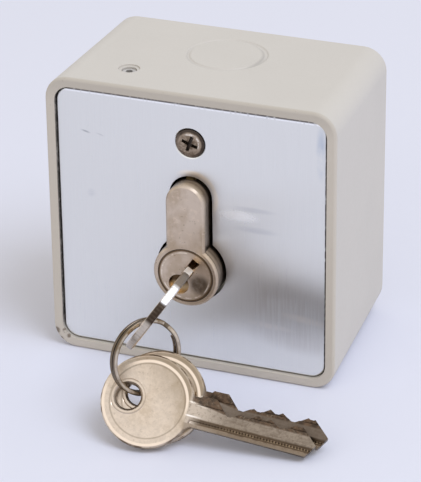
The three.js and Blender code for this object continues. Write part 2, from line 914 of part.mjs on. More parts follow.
function sweptSection(path, steps, halfAcross, halfUp, sides) {
  const section = Array.from({ length: sides }, (_, i) => {
    const angle = (2 * Math.PI * (i + 0.5)) / sides;
    return [halfAcross * Math.cos(angle), halfUp * Math.sin(angle)];
  });
  return new THREE.ExtrudeGeometry(shapeOf(section), { steps, extrudePath: path, bevelEnabled: false });
}

function springSpan() {
  const fromZ = plugRadius + 2 * runningGap + driverPinLength + springWire + runningGap;
  const toZ = webHeight - chamberPlugLength - springWire - 2 * runningGap;
  return { fromZ, toZ, coilRadius: pinRadius - springWire };
}

function pinSpring(y) {
  const { fromZ, toZ, coilRadius } = springSpan();
  const path = new CoilPath(coilRadius, springTurns, toZ - fromZ);
  const wire = sweptSection(path, springTurns * springStepsPerTurn, springWire, springWire, springSides);
  wire.translate(0, y, fromZ);
  return wire;
}

function chamberPlug(y) {
  const top = Math.sqrt((webWidth / 2) ** 2 - chamberRadius ** 2) + webHeight - webWidth / 2;
  return rodZ(chamberRadius - runningGap / 2, webHeight - chamberPlugLength, top, 0, y, smallSides);
}

function clampScrew() {
  const headFrom = webWidth / 2 + seatGap + earThickness + seatGap;
  const head = rodX(clampHeadRadius, headFrom, headFrom + clampHeadHeight, camMiddleY, clampScrewHeight, roundSides);
  const shaftEnd = -webWidth / 2 + clampScrewEnd;
  const shaft = rodX(clampScrewRadius, shaftEnd, headFrom + overrun, camMiddleY, clampScrewHeight);
  const slot = crossRecess(crossDepth, crossArmLength, crossArmWidth);
  slot.rotateZ(Math.PI / 2);
  slot.translate(headFrom + clampHeadHeight, camMiddleY, clampScrewHeight);
  return cut(join(head, shaft), slot);
}

// Keys, each about the centre of its bow, with its blade along +x and its teeth up

function bowDisc() {
  const half = keyThickness / 2;
  const face = half - bowFaceRecess;
  const rim = bowRadius - bowRimWidth;
  const disc = turnedY([
    [0, -face],
    [rim - bowRimSlope, -face],
    [rim, -half],
    [bowRadius - bowEdgeRound, -half],
    [bowRadius, -half + bowEdgeRound],
    [bowRadius, half - bowEdgeRound],
    [bowRadius - bowEdgeRound, half],
    [rim, half],
    [rim - bowRimSlope, face],
    [0, face],
  ], fineSides);
  const collarRadius = ringHoleRadius + ringHoleCollar;
  const collar = turnedY([
    [0, -half],
    [collarRadius, -half],
    [collarRadius + bowFaceRecess, -face],
    [collarRadius + bowFaceRecess, face],
    [collarRadius, half],
    [0, half],
  ], holeSides);
  collar.translate(-ringHoleOffset, 0, 0);
  const hole = turnedY([
    [0, -half - overrun],
    [ringHoleRadius + ringHoleChamfer + overrun, -half - overrun],
    [ringHoleRadius, -half + ringHoleChamfer],
    [ringHoleRadius, half - ringHoleChamfer],
    [ringHoleRadius + ringHoleChamfer + overrun, half + overrun],
    [0, half + overrun],
  ], holeSides);
  hole.translate(-ringHoleOffset, 0, 0);
  return cut(join(disc, collar), hole);
}

// The cuts as flats with sloping sides; neighbours meet in a peak
function bittingOutline() {
  const points = [];
  cutDepths.forEach((depth, i) => {
    const middle = firstCut + cutPitch * i;
    const height = bladeTop - depth;
    points.push([middle - cutFlat / 2, height], [middle + cutFlat / 2, height]);
    if (i + 1 < cutDepths.length) {
      const next = bladeTop - cutDepths[i + 1];
      const between = cutPitch - cutFlat;
      const climb = (between + (next - height) / cutSlope) / 2;
      points.push([middle + cutFlat / 2 + climb, Math.min(height + climb * cutSlope, toothCrest)]);
    }
  });
  return points;
}

function bladeOutline() {
  const lastCut = firstCut + cutPitch * (cutDepths.length - 1);
  const lastHeight = bladeTop - cutDepths[cutDepths.length - 1];
  const nose = bladeTip - tipRampLength;
  const rise = Math.min(lastHeight + (nose - lastCut - cutFlat / 2) * cutSlope, toothCrest);
  return [
    [bladeRoot, -bladeSpine],
    [bladeTip - spineRampLength, -bladeSpine],
    [bladeTip, -bladeTipDrop - bladeTipFlat / 2],
    [bladeTip, -bladeTipDrop + bladeTipFlat / 2],
    [nose, rise],
    ...bittingOutline().reverse(),
    [shoulderEnd, shoulderHeight],
    [shoulderStart, shoulderHeight],
    [shoulderStart - shoulderRamp, bladeTop],
    [bladeRoot, bladeTop],
  ];
}

// Fills the corner between the bow's rim and the blade's spine with a hollow round
function bowCorner() {
  const up = -bladeSpine - bowFillet;
  const across = Math.sqrt((bowRadius + bowFillet) ** 2 - up ** 2);
  const towardsBow = Math.PI + Math.atan2(up, across);
  return prismY([
    [bladeRoot, up],
    ...arc(across, up, bowFillet, towardsBow, Math.PI / 2, cornerSteps),
    [across, -bladeSpine + bowFaceRecess],
    [bladeRoot, -bladeSpine + bowFaceRecess],
  ], -keyThickness / 2, keyThickness / 2);
}

function keySolid() {
  const sections = [[bladeRoot, edgeGrooveDepth]];
  for (let i = 0; i <= runInSteps; i++) {
    const share = i / runInSteps;
    sections.push([millingStart + millingRunIn * share, edgeGrooveDepth * (1 - share) ** 2]);
  }
  sections.push([bladeTip + overrun, 0]);
  const bar = loftY(sections.map(([y, lift]) => ({ y, points: bladeSection(0, lift) })));
  bar.rotateZ(-Math.PI / 2);
  const sideView = prismY(bladeOutline(), -keyThickness, keyThickness);
  return join(bowDisc(), bowCorner(), common(sideView, bar));
}

function hungFrame(yaw, lean, droop) {
  return new THREE.Euler(-lean, droop, yaw, "ZXY");
}

function direction(euler, x, y, z) {
  return new THREE.Vector3(x, y, z).applyEuler(euler);
}

// Split ring in its own frame: the coils lie in the plane of x and z
class SplitRingPath extends THREE.Curve {
  getPoint(t) {
    const start = ringClimbEnd;
    const span = 4 * Math.PI - (ringClimbEnd - ringClimbStart);
    const angle = start + span * t;
    const climbFrom = 2 * Math.PI + ringClimbStart;
    const share = THREE.MathUtils.smoothstep(angle, climbFrom, 2 * Math.PI + ringClimbEnd);
    return new THREE.Vector3(
      ringRadius * Math.cos(angle),
      ringCoilPitch * (share - 0.5),
      ringRadius * Math.sin(angle),
    );
  }
}

function keyRing() {
  const steps = 2 * ringStepsPerTurn - 2;
  return sweptSection(new SplitRingPath(), steps, ringWireAxial / 2, ringWireRadial / 2, 6);
}

function ringPoint(angle) {
  const euler = hungFrame(ringYaw, ringLean, 0);
  return direction(euler, ringRadius * Math.cos(angle), 0, ringRadius * Math.sin(angle));
}

// Least gap of a wound tube to itself, measured on points of its middle line
function leastSelfGap(path, samples, wireWidth, turnSamples) {
  const points = Array.from({ length: samples + 1 }, (_, i) => path.getPoint(i / samples));
  let least = Infinity;
  for (let i = 0; i <= samples; i++) {
    for (let j = i + turnSamples; j <= samples; j++) least = Math.min(least, points[i].distanceTo(points[j]));
  }
  return least - wireWidth;
}

// Switch carrier and microswitches. side is +1 on the right and -1 on the left.

function carrier() {
  const middle = (carrierTop + carrierBottom) / 2;
  const sheet = prismY(
    lifted(roundedRectangle(carrierHalfWidth, (carrierTop - carrierBottom) / 2, carrierCorner, 4), middle),
    carrierFrontY, carrierBackY,
  );
  const web = webWidth / 2 + seatGap;
  const ears = [1, -1].map((side) => block(
    side * web, side * (web + earThickness),
    carrierFrontY - earLength, carrierFrontY + carrierThickness / 2,
    lockHeight + earBottom, lockHeight + earTop,
  ));
  const stops = [1, -1].map((side) => block(
    side * (camSideReach + camLeverGap), side * (camSideReach + camLeverGap + stopWidth),
    carrierFrontY - stopReach, carrierFrontY + carrierThickness / 2,
    lockHeight - camContactDrop - stopHeight / 2, lockHeight - camContactDrop + stopHeight / 2,
  ));
  const pads = switchScrewPlaces().map(({ side, out, z }) => block(
    side * (out - padHalfWidth), side * (out + padHalfWidth),
    switchBackY + seatGap, carrierFrontY + carrierThickness / 2,
    z - padHalfWidth, z + padHalfWidth,
  ));
  const openings = [
    prismY(
      lifted(lockProfile(carrierWindowGap), lockHeight),
      carrierFrontY - overrun, carrierBackY + overrun,
    ),
    block(
      -cableNotchHalfWidth, cableNotchHalfWidth,
      carrierFrontY - overrun, carrierBackY + overrun,
      carrierBottom - overrun, cableHoleHeight + cableHoleRadius,
    ),
    rodX(clampScrewRadius + runningGap, 0, web + earThickness + overrun, camMiddleY, lockHeight + clampScrewHeight),
    ...postPlaces().map(([x, z]) => rodY(
      carrierScrewRadius + runningGap, carrierFrontY - overrun, carrierBackY + overrun, x, z, smallSides,
    )),
    ...switchScrewPlaces().map(({ side, out, z }) => rodY(
      switchScrewRadius + runningGap, switchBackY - overrun, carrierBackY + overrun, side * out, z, smallSides,
    )),
  ];
  return cut(join(sheet, ...ears, ...stops, ...pads), ...openings);
}

function screwAlongY(headRadius, headHeight, shaftRadius, headY, endY, x, z) {
  const screw = turnedY([
    [0, headY - headHeight],
    [headRadius - headHeight / 3, headY - headHeight],
    [headRadius, headY - headHeight / 2],
    [headRadius, headY],
    [shaftRadius, headY],
    [shaftRadius, endY],
    [0, endY],
  ], screwSides);
  screw.translate(x, 0, z);
  return screw;
}

function carrierScrew([x, z]) {
  const headY = carrierFrontY - seatGap;
  const endY = carrierFrontY + carrierScrewLength - seatGap;
  return screwAlongY(carrierScrewHeadRadius, carrierScrewHeadHeight, carrierScrewRadius, headY, endY, x, z);
}

function caseMiddleZ() {
  return lockHeight + leverHingeRise + caseRise - caseLength / 2;
}

function switchScrewPlaces() {
  const out = caseBack - caseHoleInset;
  return [1, -1].flatMap((side) => [1, -1].map((end) => (
    { side, out, z: caseMiddleZ() + (end * caseHoleSpacing) / 2 }
  )));
}

function buttonTip(pressed) {
  const drop = leverHingeRise + buttonDrop;
  const leverMiddle = leverHinge - drop * Math.tan(leverRestAngle);
  const tip = leverMiddle + leverThickness / 2 + seatGap;
  return pressed ? tip : tip - buttonTravel;
}

function switchCase(side) {
  const z0 = caseMiddleZ() - caseLength / 2;
  const z1 = caseMiddleZ() + caseLength / 2;
  const outline = [
    [caseFace, z0 + caseEdge],
    [caseFace + caseEdge, z0],
    [caseBack - caseEdge, z0],
    [caseBack, z0 + caseEdge],
    [caseBack, z1 - caseEdge],
    [caseBack - caseEdge, z1],
    [caseFace + caseEdge, z1],
    [caseFace, z1 - caseEdge],
  ].map(([out, z]) => [side * out, z]);
  const body = prismY(outline, switchFrontY, switchBackY);
  const hingeZ = lockHeight + leverHingeRise;
  const ears = [switchFrontY, switchBackY - hingeEarThickness].map((y) => join(
    rodY(hingeEarRadius, y, y + hingeEarThickness, side * leverHinge, hingeZ, smallSides),
    block(
      side * leverHinge, side * (caseFace + caseEdge),
      y, y + hingeEarThickness,
      hingeZ - hingeEarRadius, hingeZ + hingeEarRadius,
    ),
  ));
  const buttonZ = lockHeight - buttonDrop;
  const well = buttonTip(true) + buttonLength + seatGap;
  return cut(
    join(body, ...ears),
    rodY(leverPinRadius + runningGap / 2, switchFrontY - overrun, switchBackY + overrun, side * leverHinge, hingeZ, smallSides),
    block(
      side * (caseFace - overrun), side * well,
      camMiddleY - buttonWidth / 2 - runningGap, camMiddleY + buttonWidth / 2 + runningGap,
      buttonZ - buttonHeight / 2 - runningGap, buttonZ + buttonHeight / 2 + runningGap,
    ),
    ...switchScrewPlaces().filter((spot) => spot.side === side).map(({ out, z }) => rodY(
      caseHoleRadius, switchFrontY - overrun, switchBackY + overrun, side * out, z, smallSides,
    )),
    ...tabPlaces().map((z) => block(
      side * (caseBack - tabSeat), side * (caseBack + overrun),
      camMiddleY - tabThickness / 2 - seatGap, camMiddleY + tabThickness / 2 + seatGap,
      z - tabWidth / 2 - seatGap, z + tabWidth / 2 + seatGap,
    )),
  );
}

function tabPlaces() {
  return [-1, 0, 1].map((step) => caseMiddleZ() + step * tabSpacing);
}

function switchTerminal(side, z) {
  const inner = caseBack - tabSeat + seatGap;
  const outer = caseBack + tabReachShare * (cavityHalfWidth - cavityDraft - caseBack);
  return cut(
    block(
      side * inner, side * outer,
      camMiddleY - tabThickness / 2, camMiddleY + tabThickness / 2,
      z - tabWidth / 2, z + tabWidth / 2,
    ),
    rodY(tabHoleRadius, camMiddleY - tabThickness, camMiddleY + tabThickness, side * (outer - tabWidth / 2), z, smallSides),
  );
}

function switchButton(side) {
  const pressed = side < 0;
  const tip = buttonTip(pressed);
  const z = lockHeight - buttonDrop;
  const outline = [
    [tip + buttonHeight / 4, z - buttonHeight / 2],
    [tip + buttonLength, z - buttonHeight / 2],
    [tip + buttonLength, z + buttonHeight / 2],
    [tip + buttonHeight / 4, z + buttonHeight / 2],
    [tip, z + buttonHeight / 4],
    [tip, z - buttonHeight / 4],
  ].map(([out, up]) => [side * out, up]);
  return prismY(outline, camMiddleY - buttonWidth / 2, camMiddleY + buttonWidth / 2);
}

// The lever hangs from its pin and is drawn straight down; its group turns it to its angle
function switchLever() {
  const blade = block(
    -leverThickness / 2, leverThickness / 2,
    camMiddleY - leverWidth / 2, camMiddleY + leverWidth / 2,
    -leverLength - leverOverhang, leverPinRadius,
  );
  const pin = rodY(
    leverPinRadius, switchFrontY + hingeEarThickness / 4, switchBackY - hingeEarThickness / 4, 0, 0, smallSides,
  );
  return join(blade, pin);
}

function switchScrew({ side, out, z }) {
  const headY = switchFrontY - seatGap;
  const endY = carrierBackY - seatGap;
  return screwAlongY(switchScrewHeadRadius, switchScrewHeadHeight, switchScrewRadius, headY, endY, side * out, z);
}

// The assembly

const selectorKeySwitch = new THREE.Group();
place(selectorKeySwitch, "housing", housing(), moulding);
place(selectorKeySwitch, "front_plate", frontPlate(), brushedPlate);
place(selectorKeySwitch, "plate_seal", plateSeal(), blackRubber);
place(selectorKeySwitch, "plate_screw", plateScrew(), darkSteel);
place(selectorKeySwitch, "top_grub_screw", grubScrew(), darkSteel);
place(selectorKeySwitch, "switch_carrier", carrier(), greyPlastic);
postPlaces().forEach((spot, i) => {
  place(selectorKeySwitch, `carrier_screw_${i + 1}`, carrierScrew(spot), steel);
});

const lock = new THREE.Group();
lock.position.set(0, 0, lockHeight);
selectorKeySwitch.add(lock);
place(lock, "cylinder_body", cylinderBody(), satinNickel);
place(lock, "cylinder_screw", clampScrew(), steel);

const turning = new THREE.Group();
turning.rotation.y = plugTurn;
lock.add(turning);
place(turning, "plug", plug(), satinNickel);
place(turning, "cam", cam(), steel);
place(turning, "plug_clip", plugClip(), darkSteel);

pinStations().forEach((y, i) => {
  const number = i + 1;
  place(turning, `key_pin_${number}`, keyPin(y), brassMetal);
  place(lock, `driver_pin_${number}`, driverPin(y), brassMetal);
  place(lock, `pin_spring_${number}`, pinSpring(y), steel);
  place(lock, `chamber_plug_${number}`, chamberPlug(y), brassMetal);
});

for (const [side, name] of [[-1, "left"], [1, "right"]]) {
  place(selectorKeySwitch, `switch_case_${name}`, switchCase(side), blackPlastic);
  tabPlaces().forEach((z, i) => {
    place(selectorKeySwitch, `switch_terminal_${name}_${i + 1}`, switchTerminal(side, z), brassMetal);
  });
  place(selectorKeySwitch, `switch_button_${name}`, switchButton(side), redPlastic);
  switchScrewPlaces().filter((spot) => spot.side === side).forEach((spot, i) => {
    place(selectorKeySwitch, `switch_screw_${name}_${i + 1}`, switchScrew(spot), steel);
  });
  const lever = place(selectorKeySwitch, `switch_lever_${name}`, switchLever(), steel);
  const released = side > 0 ? leverTravel : 0;
  lever.position.set(side * leverHinge, 0, lockHeight + leverHingeRise);
  lever.rotation.y = side * (leverRestAngle + released);
}

// The key in the lock, then the ring through its hole, then the spare keys on the ring

const lockKeyTurn = hungFrame(Math.PI / 2, -plugTurn, 0);
const spareKeyTurns = [hungFrame(spareYaw, spareLean, frontKeyDroop), hungFrame(spareYaw, spareLean, rearKeyDroop)];

const lockKey = place(selectorKeySwitch, "key_1", keySolid(), keyMetal);
lockKey.rotation.copy(lockKeyTurn);
lockKey.position.set(0, keyCentreY, lockHeight);

const ringCentre = lockKey.position.clone()
  .add(direction(lockKeyTurn, lockKeySeat[0] - ringHoleOffset, 0, lockKeySeat[1]))
  .sub(ringPoint(lockKeyCrossing));
const ring = place(selectorKeySwitch, "key_ring", keyRing(), keyMetal);
ring.rotation.copy(hungFrame(ringYaw, ringLean, 0));
ring.position.copy(ringCentre);

[frontKeyCrossing, rearKeyCrossing].forEach((crossing, i) => {
  const seat = [frontKeySeat, rearKeySeat][i];
  const spare = place(selectorKeySwitch, `key_${i + 2}`, keySolid(), keyMetal);
  spare.rotation.copy(spareKeyTurns[i]);
  spare.position.copy(ringCentre)
    .add(ringPoint(crossing))
    .add(direction(spareKeyTurns[i], ringHoleOffset - seat[0], 0, -seat[1]));
});

const span = springSpan();
const springPath = new CoilPath(span.coilRadius, springTurns, span.toZ - span.fromZ);
const springGap = leastSelfGap(springPath, springTurns * springStepsPerTurn, 2 * springWire, springStepsPerTurn / 2);
const ringGap = leastSelfGap(new SplitRingPath(), 2 * ringStepsPerTurn, ringWireAxial, ringStepsPerTurn / 2);
console.log(`pin springs: least gap to themselves ${springGap.toFixed(2)} mm, wanted ${springSelfGap}`);
console.log(`split ring: least gap to itself ${ringGap.toFixed(2)} mm`);

export default selectorKeySwitch;
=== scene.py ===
import json
import math

import bmesh
import bpy
from bpy.props import FloatProperty, FloatVectorProperty, IntProperty, PointerProperty
from mathutils import Matrix, Vector

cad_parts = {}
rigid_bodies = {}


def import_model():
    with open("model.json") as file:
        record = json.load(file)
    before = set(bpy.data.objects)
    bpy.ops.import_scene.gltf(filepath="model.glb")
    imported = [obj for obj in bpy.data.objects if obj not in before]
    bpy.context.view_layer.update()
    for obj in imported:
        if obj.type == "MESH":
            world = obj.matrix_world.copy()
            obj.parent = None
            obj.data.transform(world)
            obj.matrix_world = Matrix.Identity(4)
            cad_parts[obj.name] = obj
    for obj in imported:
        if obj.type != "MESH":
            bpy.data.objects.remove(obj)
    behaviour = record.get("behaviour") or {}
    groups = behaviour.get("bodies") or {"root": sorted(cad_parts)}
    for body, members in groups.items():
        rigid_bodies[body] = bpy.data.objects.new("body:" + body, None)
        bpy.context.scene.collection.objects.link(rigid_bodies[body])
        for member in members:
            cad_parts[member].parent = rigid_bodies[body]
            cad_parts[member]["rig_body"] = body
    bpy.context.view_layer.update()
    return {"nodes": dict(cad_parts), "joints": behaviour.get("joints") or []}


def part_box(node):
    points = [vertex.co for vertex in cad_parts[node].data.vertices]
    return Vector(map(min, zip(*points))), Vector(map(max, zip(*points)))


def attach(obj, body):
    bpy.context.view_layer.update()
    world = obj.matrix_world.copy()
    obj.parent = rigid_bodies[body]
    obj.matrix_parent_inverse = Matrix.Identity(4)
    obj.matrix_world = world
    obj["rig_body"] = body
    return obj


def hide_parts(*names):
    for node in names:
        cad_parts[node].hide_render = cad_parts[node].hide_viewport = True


bl_info = {
    "name": "Selector key switch",
    "version": (1, 0, 0),
    "blender": (4, 5, 0),
    "location": "View3D > Sidebar > Key switch",
    "description": "Dresses a selector key switch: its box, plate, lock, keys and split ring",
    "category": "Object",
}

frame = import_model()
MM = 0.001
FULL_TURN = 2 * math.pi
EDGE_NAME = "worn_edge"
# A dressed copy shades smooth below the first angle, breaks its edges above the second and
# joins faces that lie flatter than the third; points nearer than MERGED, in metres, become one
SMOOTH_ANGLE, BROKEN_ANGLE, FLAT_ANGLE = math.radians(28), math.radians(35), math.radians(0.6)
MERGED = 2e-6
# The same for the ring's wire, which is shaded and merged only
WIRE_ANGLE, WIRE_MERGED = math.radians(40), 1e-7

# Places that the pieces and their finishes share, in metres, in the frame of the solids
BOX_LOW, BOX_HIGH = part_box("housing")
LOCK_LOW, LOCK_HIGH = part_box("cylinder_body")
PLUG_LOW, PLUG_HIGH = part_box("plug")
SCREW_LOW, SCREW_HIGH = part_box("plate_screw")
PLATE_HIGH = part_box("front_plate")[1]
AXIS_HEIGHT = (PLUG_LOW.z + PLUG_HIGH.z) / 2
WEB_RADIUS = 0.005
# How far the knock-out's centre lies behind the box's front, and its radius
KNOCK_OUT_BACK, KNOCK_OUT_RADIUS = 0.0277, 0.0099
# How far the bow's centre lies ahead of its hole, and the radii of the bow, its flat and its hole
BOW_AHEAD, BOW_RADIUS, BOW_FLAT, BOW_HOLE = 0.0048, 0.0114, 0.0091, 0.00305
# The fronts of the plate and the plug, in millimetres
PLATE_FACE, LOCK_FACE = -44.1, -48.65


# Shader expressions


class Socket:
    """One output in a tree of nodes; arithmetic on it adds Math nodes."""

    def __init__(self, tree, output):
        self.tree = tree
        self.output = output

    def _math(self, operation, *values):
        return self.tree.node("ShaderNodeMath", {"operation": operation}, dict(enumerate(values)))

    def __add__(self, other):
        return self._math("ADD", self, other)

    def __sub__(self, other):
        return self._math("SUBTRACT", self, other)

    def __rsub__(self, other):
        return self._math("SUBTRACT", other, self)

    def __mul__(self, other):
        return self._math("MULTIPLY", self, other)

    def __truediv__(self, other):
        return self._math("DIVIDE", self, other)

    def __pow__(self, other):
        return self._math("POWER", self, other)

    __radd__, __rmul__ = __add__, __mul__

    def sine(self):
        return self._math("SINE", self)

    def cosine(self):
        return self._math("COSINE", self)

    def size(self):
        return self._math("ABSOLUTE", self)

    def turned_from(self, other):
        return self._math("ARCTAN2", self, other)

    def most(self, other):
        return self._math("MAXIMUM", self, other)

    def ramp(self, low, high, to_low=0.0, to_high=1.0, smooth=True):
        """to_low at low, rising or falling to to_high at high, and level beyond them."""
        settings = {"interpolation_type": "SMOOTHSTEP" if smooth else "LINEAR"}
        inputs = {0: self, 1: low, 2: high, 3: to_low, 4: to_high}
        return self.tree.node("ShaderNodeMapRange", settings, inputs)

    def band(self, centre, outer, inner):
        """1 within inner of a centre, falling to 0 at outer from it."""
        return (self - centre).size().ramp(outer, inner)


class Tree:
    """A tree of nodes being written, with one method for every kind of node."""

    def __init__(self, tree):
        self.nodes = tree.nodes
        self.links = tree.links
        self.nodes.clear()

    def feed(self, target, value):
        if isinstance(value, Socket):
            self.links.new(value.output, target)
        elif value is not None:
            target.default_value = value

    def node(self, kind, settings=None, inputs=None, output=0):
        made = self.nodes.new(kind)
        for key, value in (settings or {}).items():
            if key == "stops":
                ramp = made.color_ramp
                ramp.elements.remove(ramp.elements[1])
                ramp.elements[0].position, first = value[0]
                ramp.elements[0].color = (*first, 1.0)
                for place, colour in value[1:]:
                    ramp.elements.new(place).color = (*colour, 1.0)
            else:
                setattr(made, key, value)
        for key, value in (inputs or {}).items():
            self.feed(made.inputs[key], value)
        return Socket(self, made.outputs[output])

    def joined(self, x, y, z):
        return self.node("ShaderNodeCombineXYZ", None, {0: x, 1: y, 2: z})

    def close(self, kind, last):
        """Leads the tree's last output into its output node."""
        self.links.new(last, self.nodes.new(kind).inputs[0])


class Finish(Tree):
    """A material being written."""

    def __init__(self, name):
        self.material = bpy.data.materials.new(name)
        self.material.use_nodes = True
        super().__init__(self.material.node_tree)
        self.shader = self.nodes.new("ShaderNodeBsdfPrincipled")
        self.close("ShaderNodeOutputMaterial", self.shader.outputs[0])

    def place(self):
        return self.node("ShaderNodeTexCoord", output="Object")

    def worn(self):
        """1 along the broken edges of a dressed copy, 0 elsewhere."""
        return self.node("ShaderNodeAttribute", {"attribute_name": EDGE_NAME}, output="Fac")

    def axes(self):
        """x, y and z of each point of the piece, in metres."""
        split = self.nodes.new("ShaderNodeSeparateXYZ")
        self.links.new(self.place().output, split.inputs[0])
        return [Socket(self, output) for output in split.outputs]

    def stretched(self, scales, turn=(0.0, 0.0, 0.0)):
        inputs = {"Vector": self.place(), "Rotation": turn, "Scale": scales}
        return self.node("ShaderNodeMapping", inputs=inputs)

    def noise(self, vector, detail=3.0, roughness=0.55):
        inputs = {"Vector": vector, "Scale": 1.0, "Detail": detail, "Roughness": roughness}
        return self.node("ShaderNodeTexNoise", inputs=inputs)

    def cloud(self, scale, detail=3.0, roughness=0.55):
        """Noise at one scale, or at one scale for each axis."""
        scales = scale if isinstance(scale, tuple) else (scale, scale, scale)
        return self.noise(self.stretched(scales), detail, roughness)

    def blend(self, factor, first, second):
        made = self.nodes.new("ShaderNodeMix")
        made.data_type = "RGBA"
        self.feed(made.inputs[0], factor)
        for target, value in ((made.inputs[6], first), (made.inputs[7], second)):
            self.feed(target, value if isinstance(value, Socket) else (*value, 1.0))
        return Socket(self, made.outputs[2])

    def painted(self, colour, *coats):
        """A colour under its coats, each of them a mask and a colour."""
        for mask, coat in coats:
            colour = self.blend(mask, colour, coat)
        return colour

    def vector(self, operation, first, second=None, output="Value"):
        """One Vector Math node. A second value is left out where the operation has one."""
        inputs = {0: first, 1: second}
        return self.node("ShaderNodeVectorMath", {"operation": operation}, inputs, output)

    def spot(self, centre, radius, soft=0.6):
        """1 inside a ball about a place in millimetres, falling to 0 at its radius."""
        away = self.vector("DISTANCE", self.place(), tuple(c * MM for c in centre))
        return away.ramp(radius * MM * (1 - soft), radius * MM, 1.0, 0.0)

    def streak(self, centre, reach, tilt=0.0):
        """1 at a place on the plate, in millimetres, falling to 0 at a reach along and across.

        tilt turns the streak, in degrees, from level."""
        x, y, z = self.axes()
        x, z = x - centre[0] * MM, z - centre[1] * MM
        level, steep = math.cos(math.radians(tilt)), math.sin(math.radians(tilt))
        along = (x * level + z * steep) / (reach[0] * MM)
        across = (z * level - x * steep) / (reach[1] * MM)
        return ((along * along + across * across) ** 0.5).ramp(0.2, 1.0, 1.0, 0.0)

    def bump(self, height, strength, distance):
        inputs = {"Height": height, "Strength": strength, "Distance": distance * MM}
        return self.node("ShaderNodeBump", inputs=inputs)

    def done(self, base_color, roughness, normal=None, **others):
        inputs = {"base_color": base_color, "roughness": roughness, "normal": normal, **others}
        for key, value in inputs.items():
            name = key.replace("_", " ").title().replace("Ior", "IOR")
            if isinstance(value, tuple) and len(value) == 3:
                value = (*value, 1.0)
            self.feed(self.shader.inputs[name], value)
        return self.material


# Sizes and colours that a user would change


def colour_of(name, description, default):
    return FloatVectorProperty(
        name=name, description=description, subtype="COLOR", size=3, min=0, max=1, default=default,
    )


def length_of(name, description, default, most=0.001, least=0.0):
    return FloatProperty(
        name=name, description=description, subtype="DISTANCE", unit="LENGTH",
        default=default, min=least, max=most,
    )


def level_of(name, description, default, most=1.0):
    return FloatProperty(name=name, description=description, default=default, min=0, max=most)


class HousingLook(bpy.types.PropertyGroup):
    colour: colour_of("Colour", "Colour of the moulded box", (0.62, 0.588, 0.548))
    lip: colour_of("Lip", "Colour of the raised lip, yellowed by handling", (0.60, 0.54, 0.46))
    edge: length_of("Edge width", "Rounding of the small edges, in metres", 0.00022)
    grain: level_of("Grain", "Strength of the mould texture", 0.14)


class PlateLook(bpy.types.PropertyGroup):
    colour: colour_of("Colour", "Colour of the brushed plate", (0.835, 0.835, 0.812))
    edge: length_of("Edge width", "Rounding of the plate's edges, in metres", 0.00018)
    brushing: level_of("Brushing", "Strength of the upright grain", 0.3)


class LockLook(bpy.types.PropertyGroup):
    colour: colour_of("Nickel", "Colour of the lock's nickel plating", (0.66, 0.55, 0.44))
    stain: colour_of("Stain", "Colour where the plating has worn thin", (0.42, 0.31, 0.20))
    edge: length_of("Edge width", "Rounding of the turned edges, in metres", 0.0001)


class KeyLook(bpy.types.PropertyGroup):
    colour: colour_of("Key metal", "Colour of the keys and the ring", (0.66, 0.555, 0.44))
    edge: length_of("Edge width", "Rounding of the keys' edges, in metres", 0.00013)


class RingSizes(bpy.types.PropertyGroup):
    radius: length_of("Radius", "Radius of the ring's middle line, in metres", 0.00906, 0.05, 0.001)
    pitch: length_of("Pitch", "Distance between the two coils, in metres", 0.00122, 0.01)
    wire_width: length_of(
        "Wire width", "Width of the wire across the ring, in metres", 0.00116, 0.01,
    )
    wire_height: length_of(
        "Wire height", "Thickness of the wire along the ring's axis, in metres", 0.0008, 0.01,
    )
    steps: IntProperty(
        name="Steps", description="Points along the wire", default=240, min=24, max=1000,
    )


class StageLook(bpy.types.PropertyGroup):
    floor: colour_of("Floor", "Colour of the floor and backdrop", (0.775, 0.79, 0.905))
    key_power: level_of("Key light", "Power of the large lamp", 19.0, 1000)
    fill_power: level_of("Fill light", "Power of the side lamp", 1.0, 1000)
    room: level_of("Room light", "Strength of the even light from all round", 0.70, 10)


def look(name):
    return getattr(bpy.context.scene, name)


# Finishes


def toned(colour, share):
    """A colour made darker or brighter by a share, with no channel above 1."""
    return tuple(min(1.0, channel * share) for channel in colour)


# How fast the waves run, in radians per metre, of the plug's turned rings, the cutter's marks
# in the keys' grooves and the brass rubbed off the keyway
TURNED_WAVES, CUTTER_WAVES, RUBBED_WAVES = 21000.0, 8400.0, 3900.0
# Milled marks round the edge of a bow
MILLED_MARKS = 76.0

# Tones of wear and dirt on the box and its plate, and of the light, shade and reflections painted
# on the plate
SCUFFED, GAP_DARK = (0.17, 0.125, 0.085), (0.035, 0.03, 0.026)
SCRATCH_GREY, SMUDGE_AND_REFLECTION_GREY = (0.36, 0.37, 0.40), (0.45, 0.47, 0.52)
PLATE_REFLECTION_WHITE, REFLECTED_STREAK_CREAM, LOCK_GLOW = (1.0, 1.0, 0.97), (1.0, 0.95, 0.88), (1.0, 0.93, 0.80)
KEYS_REFLECTION_BROWN, LOWER_REFLECTION_BROWN, FILM_BLUE = (0.50, 0.44, 0.38), (0.50, 0.47, 0.44), (0.34, 0.45, 0.62)
EDGE_SHADOW_GRIT, EDGE_SHADE, EDGE_HIGHLIGHT_WHITE = (0.06, 0.045, 0.04), (0.07, 0.055, 0.05), (1.0, 1.0, 1.0)

# Dents in the lip: place in millimetres, radius and softness
LIP_DENTS = (
    ((-36.8, -45.0, -33.4), 1.2, 0.5),
    ((-34.5, -45.0, -33.2), 0.9, 0.5),
    ((-33.6, -45.0, -34.5), 0.8, 0.5),
    ((-35.6, -44.8, -35.6), 0.8, 0.6),
    ((34.6, -45.0, 20.0), 0.6, 0.6),
)


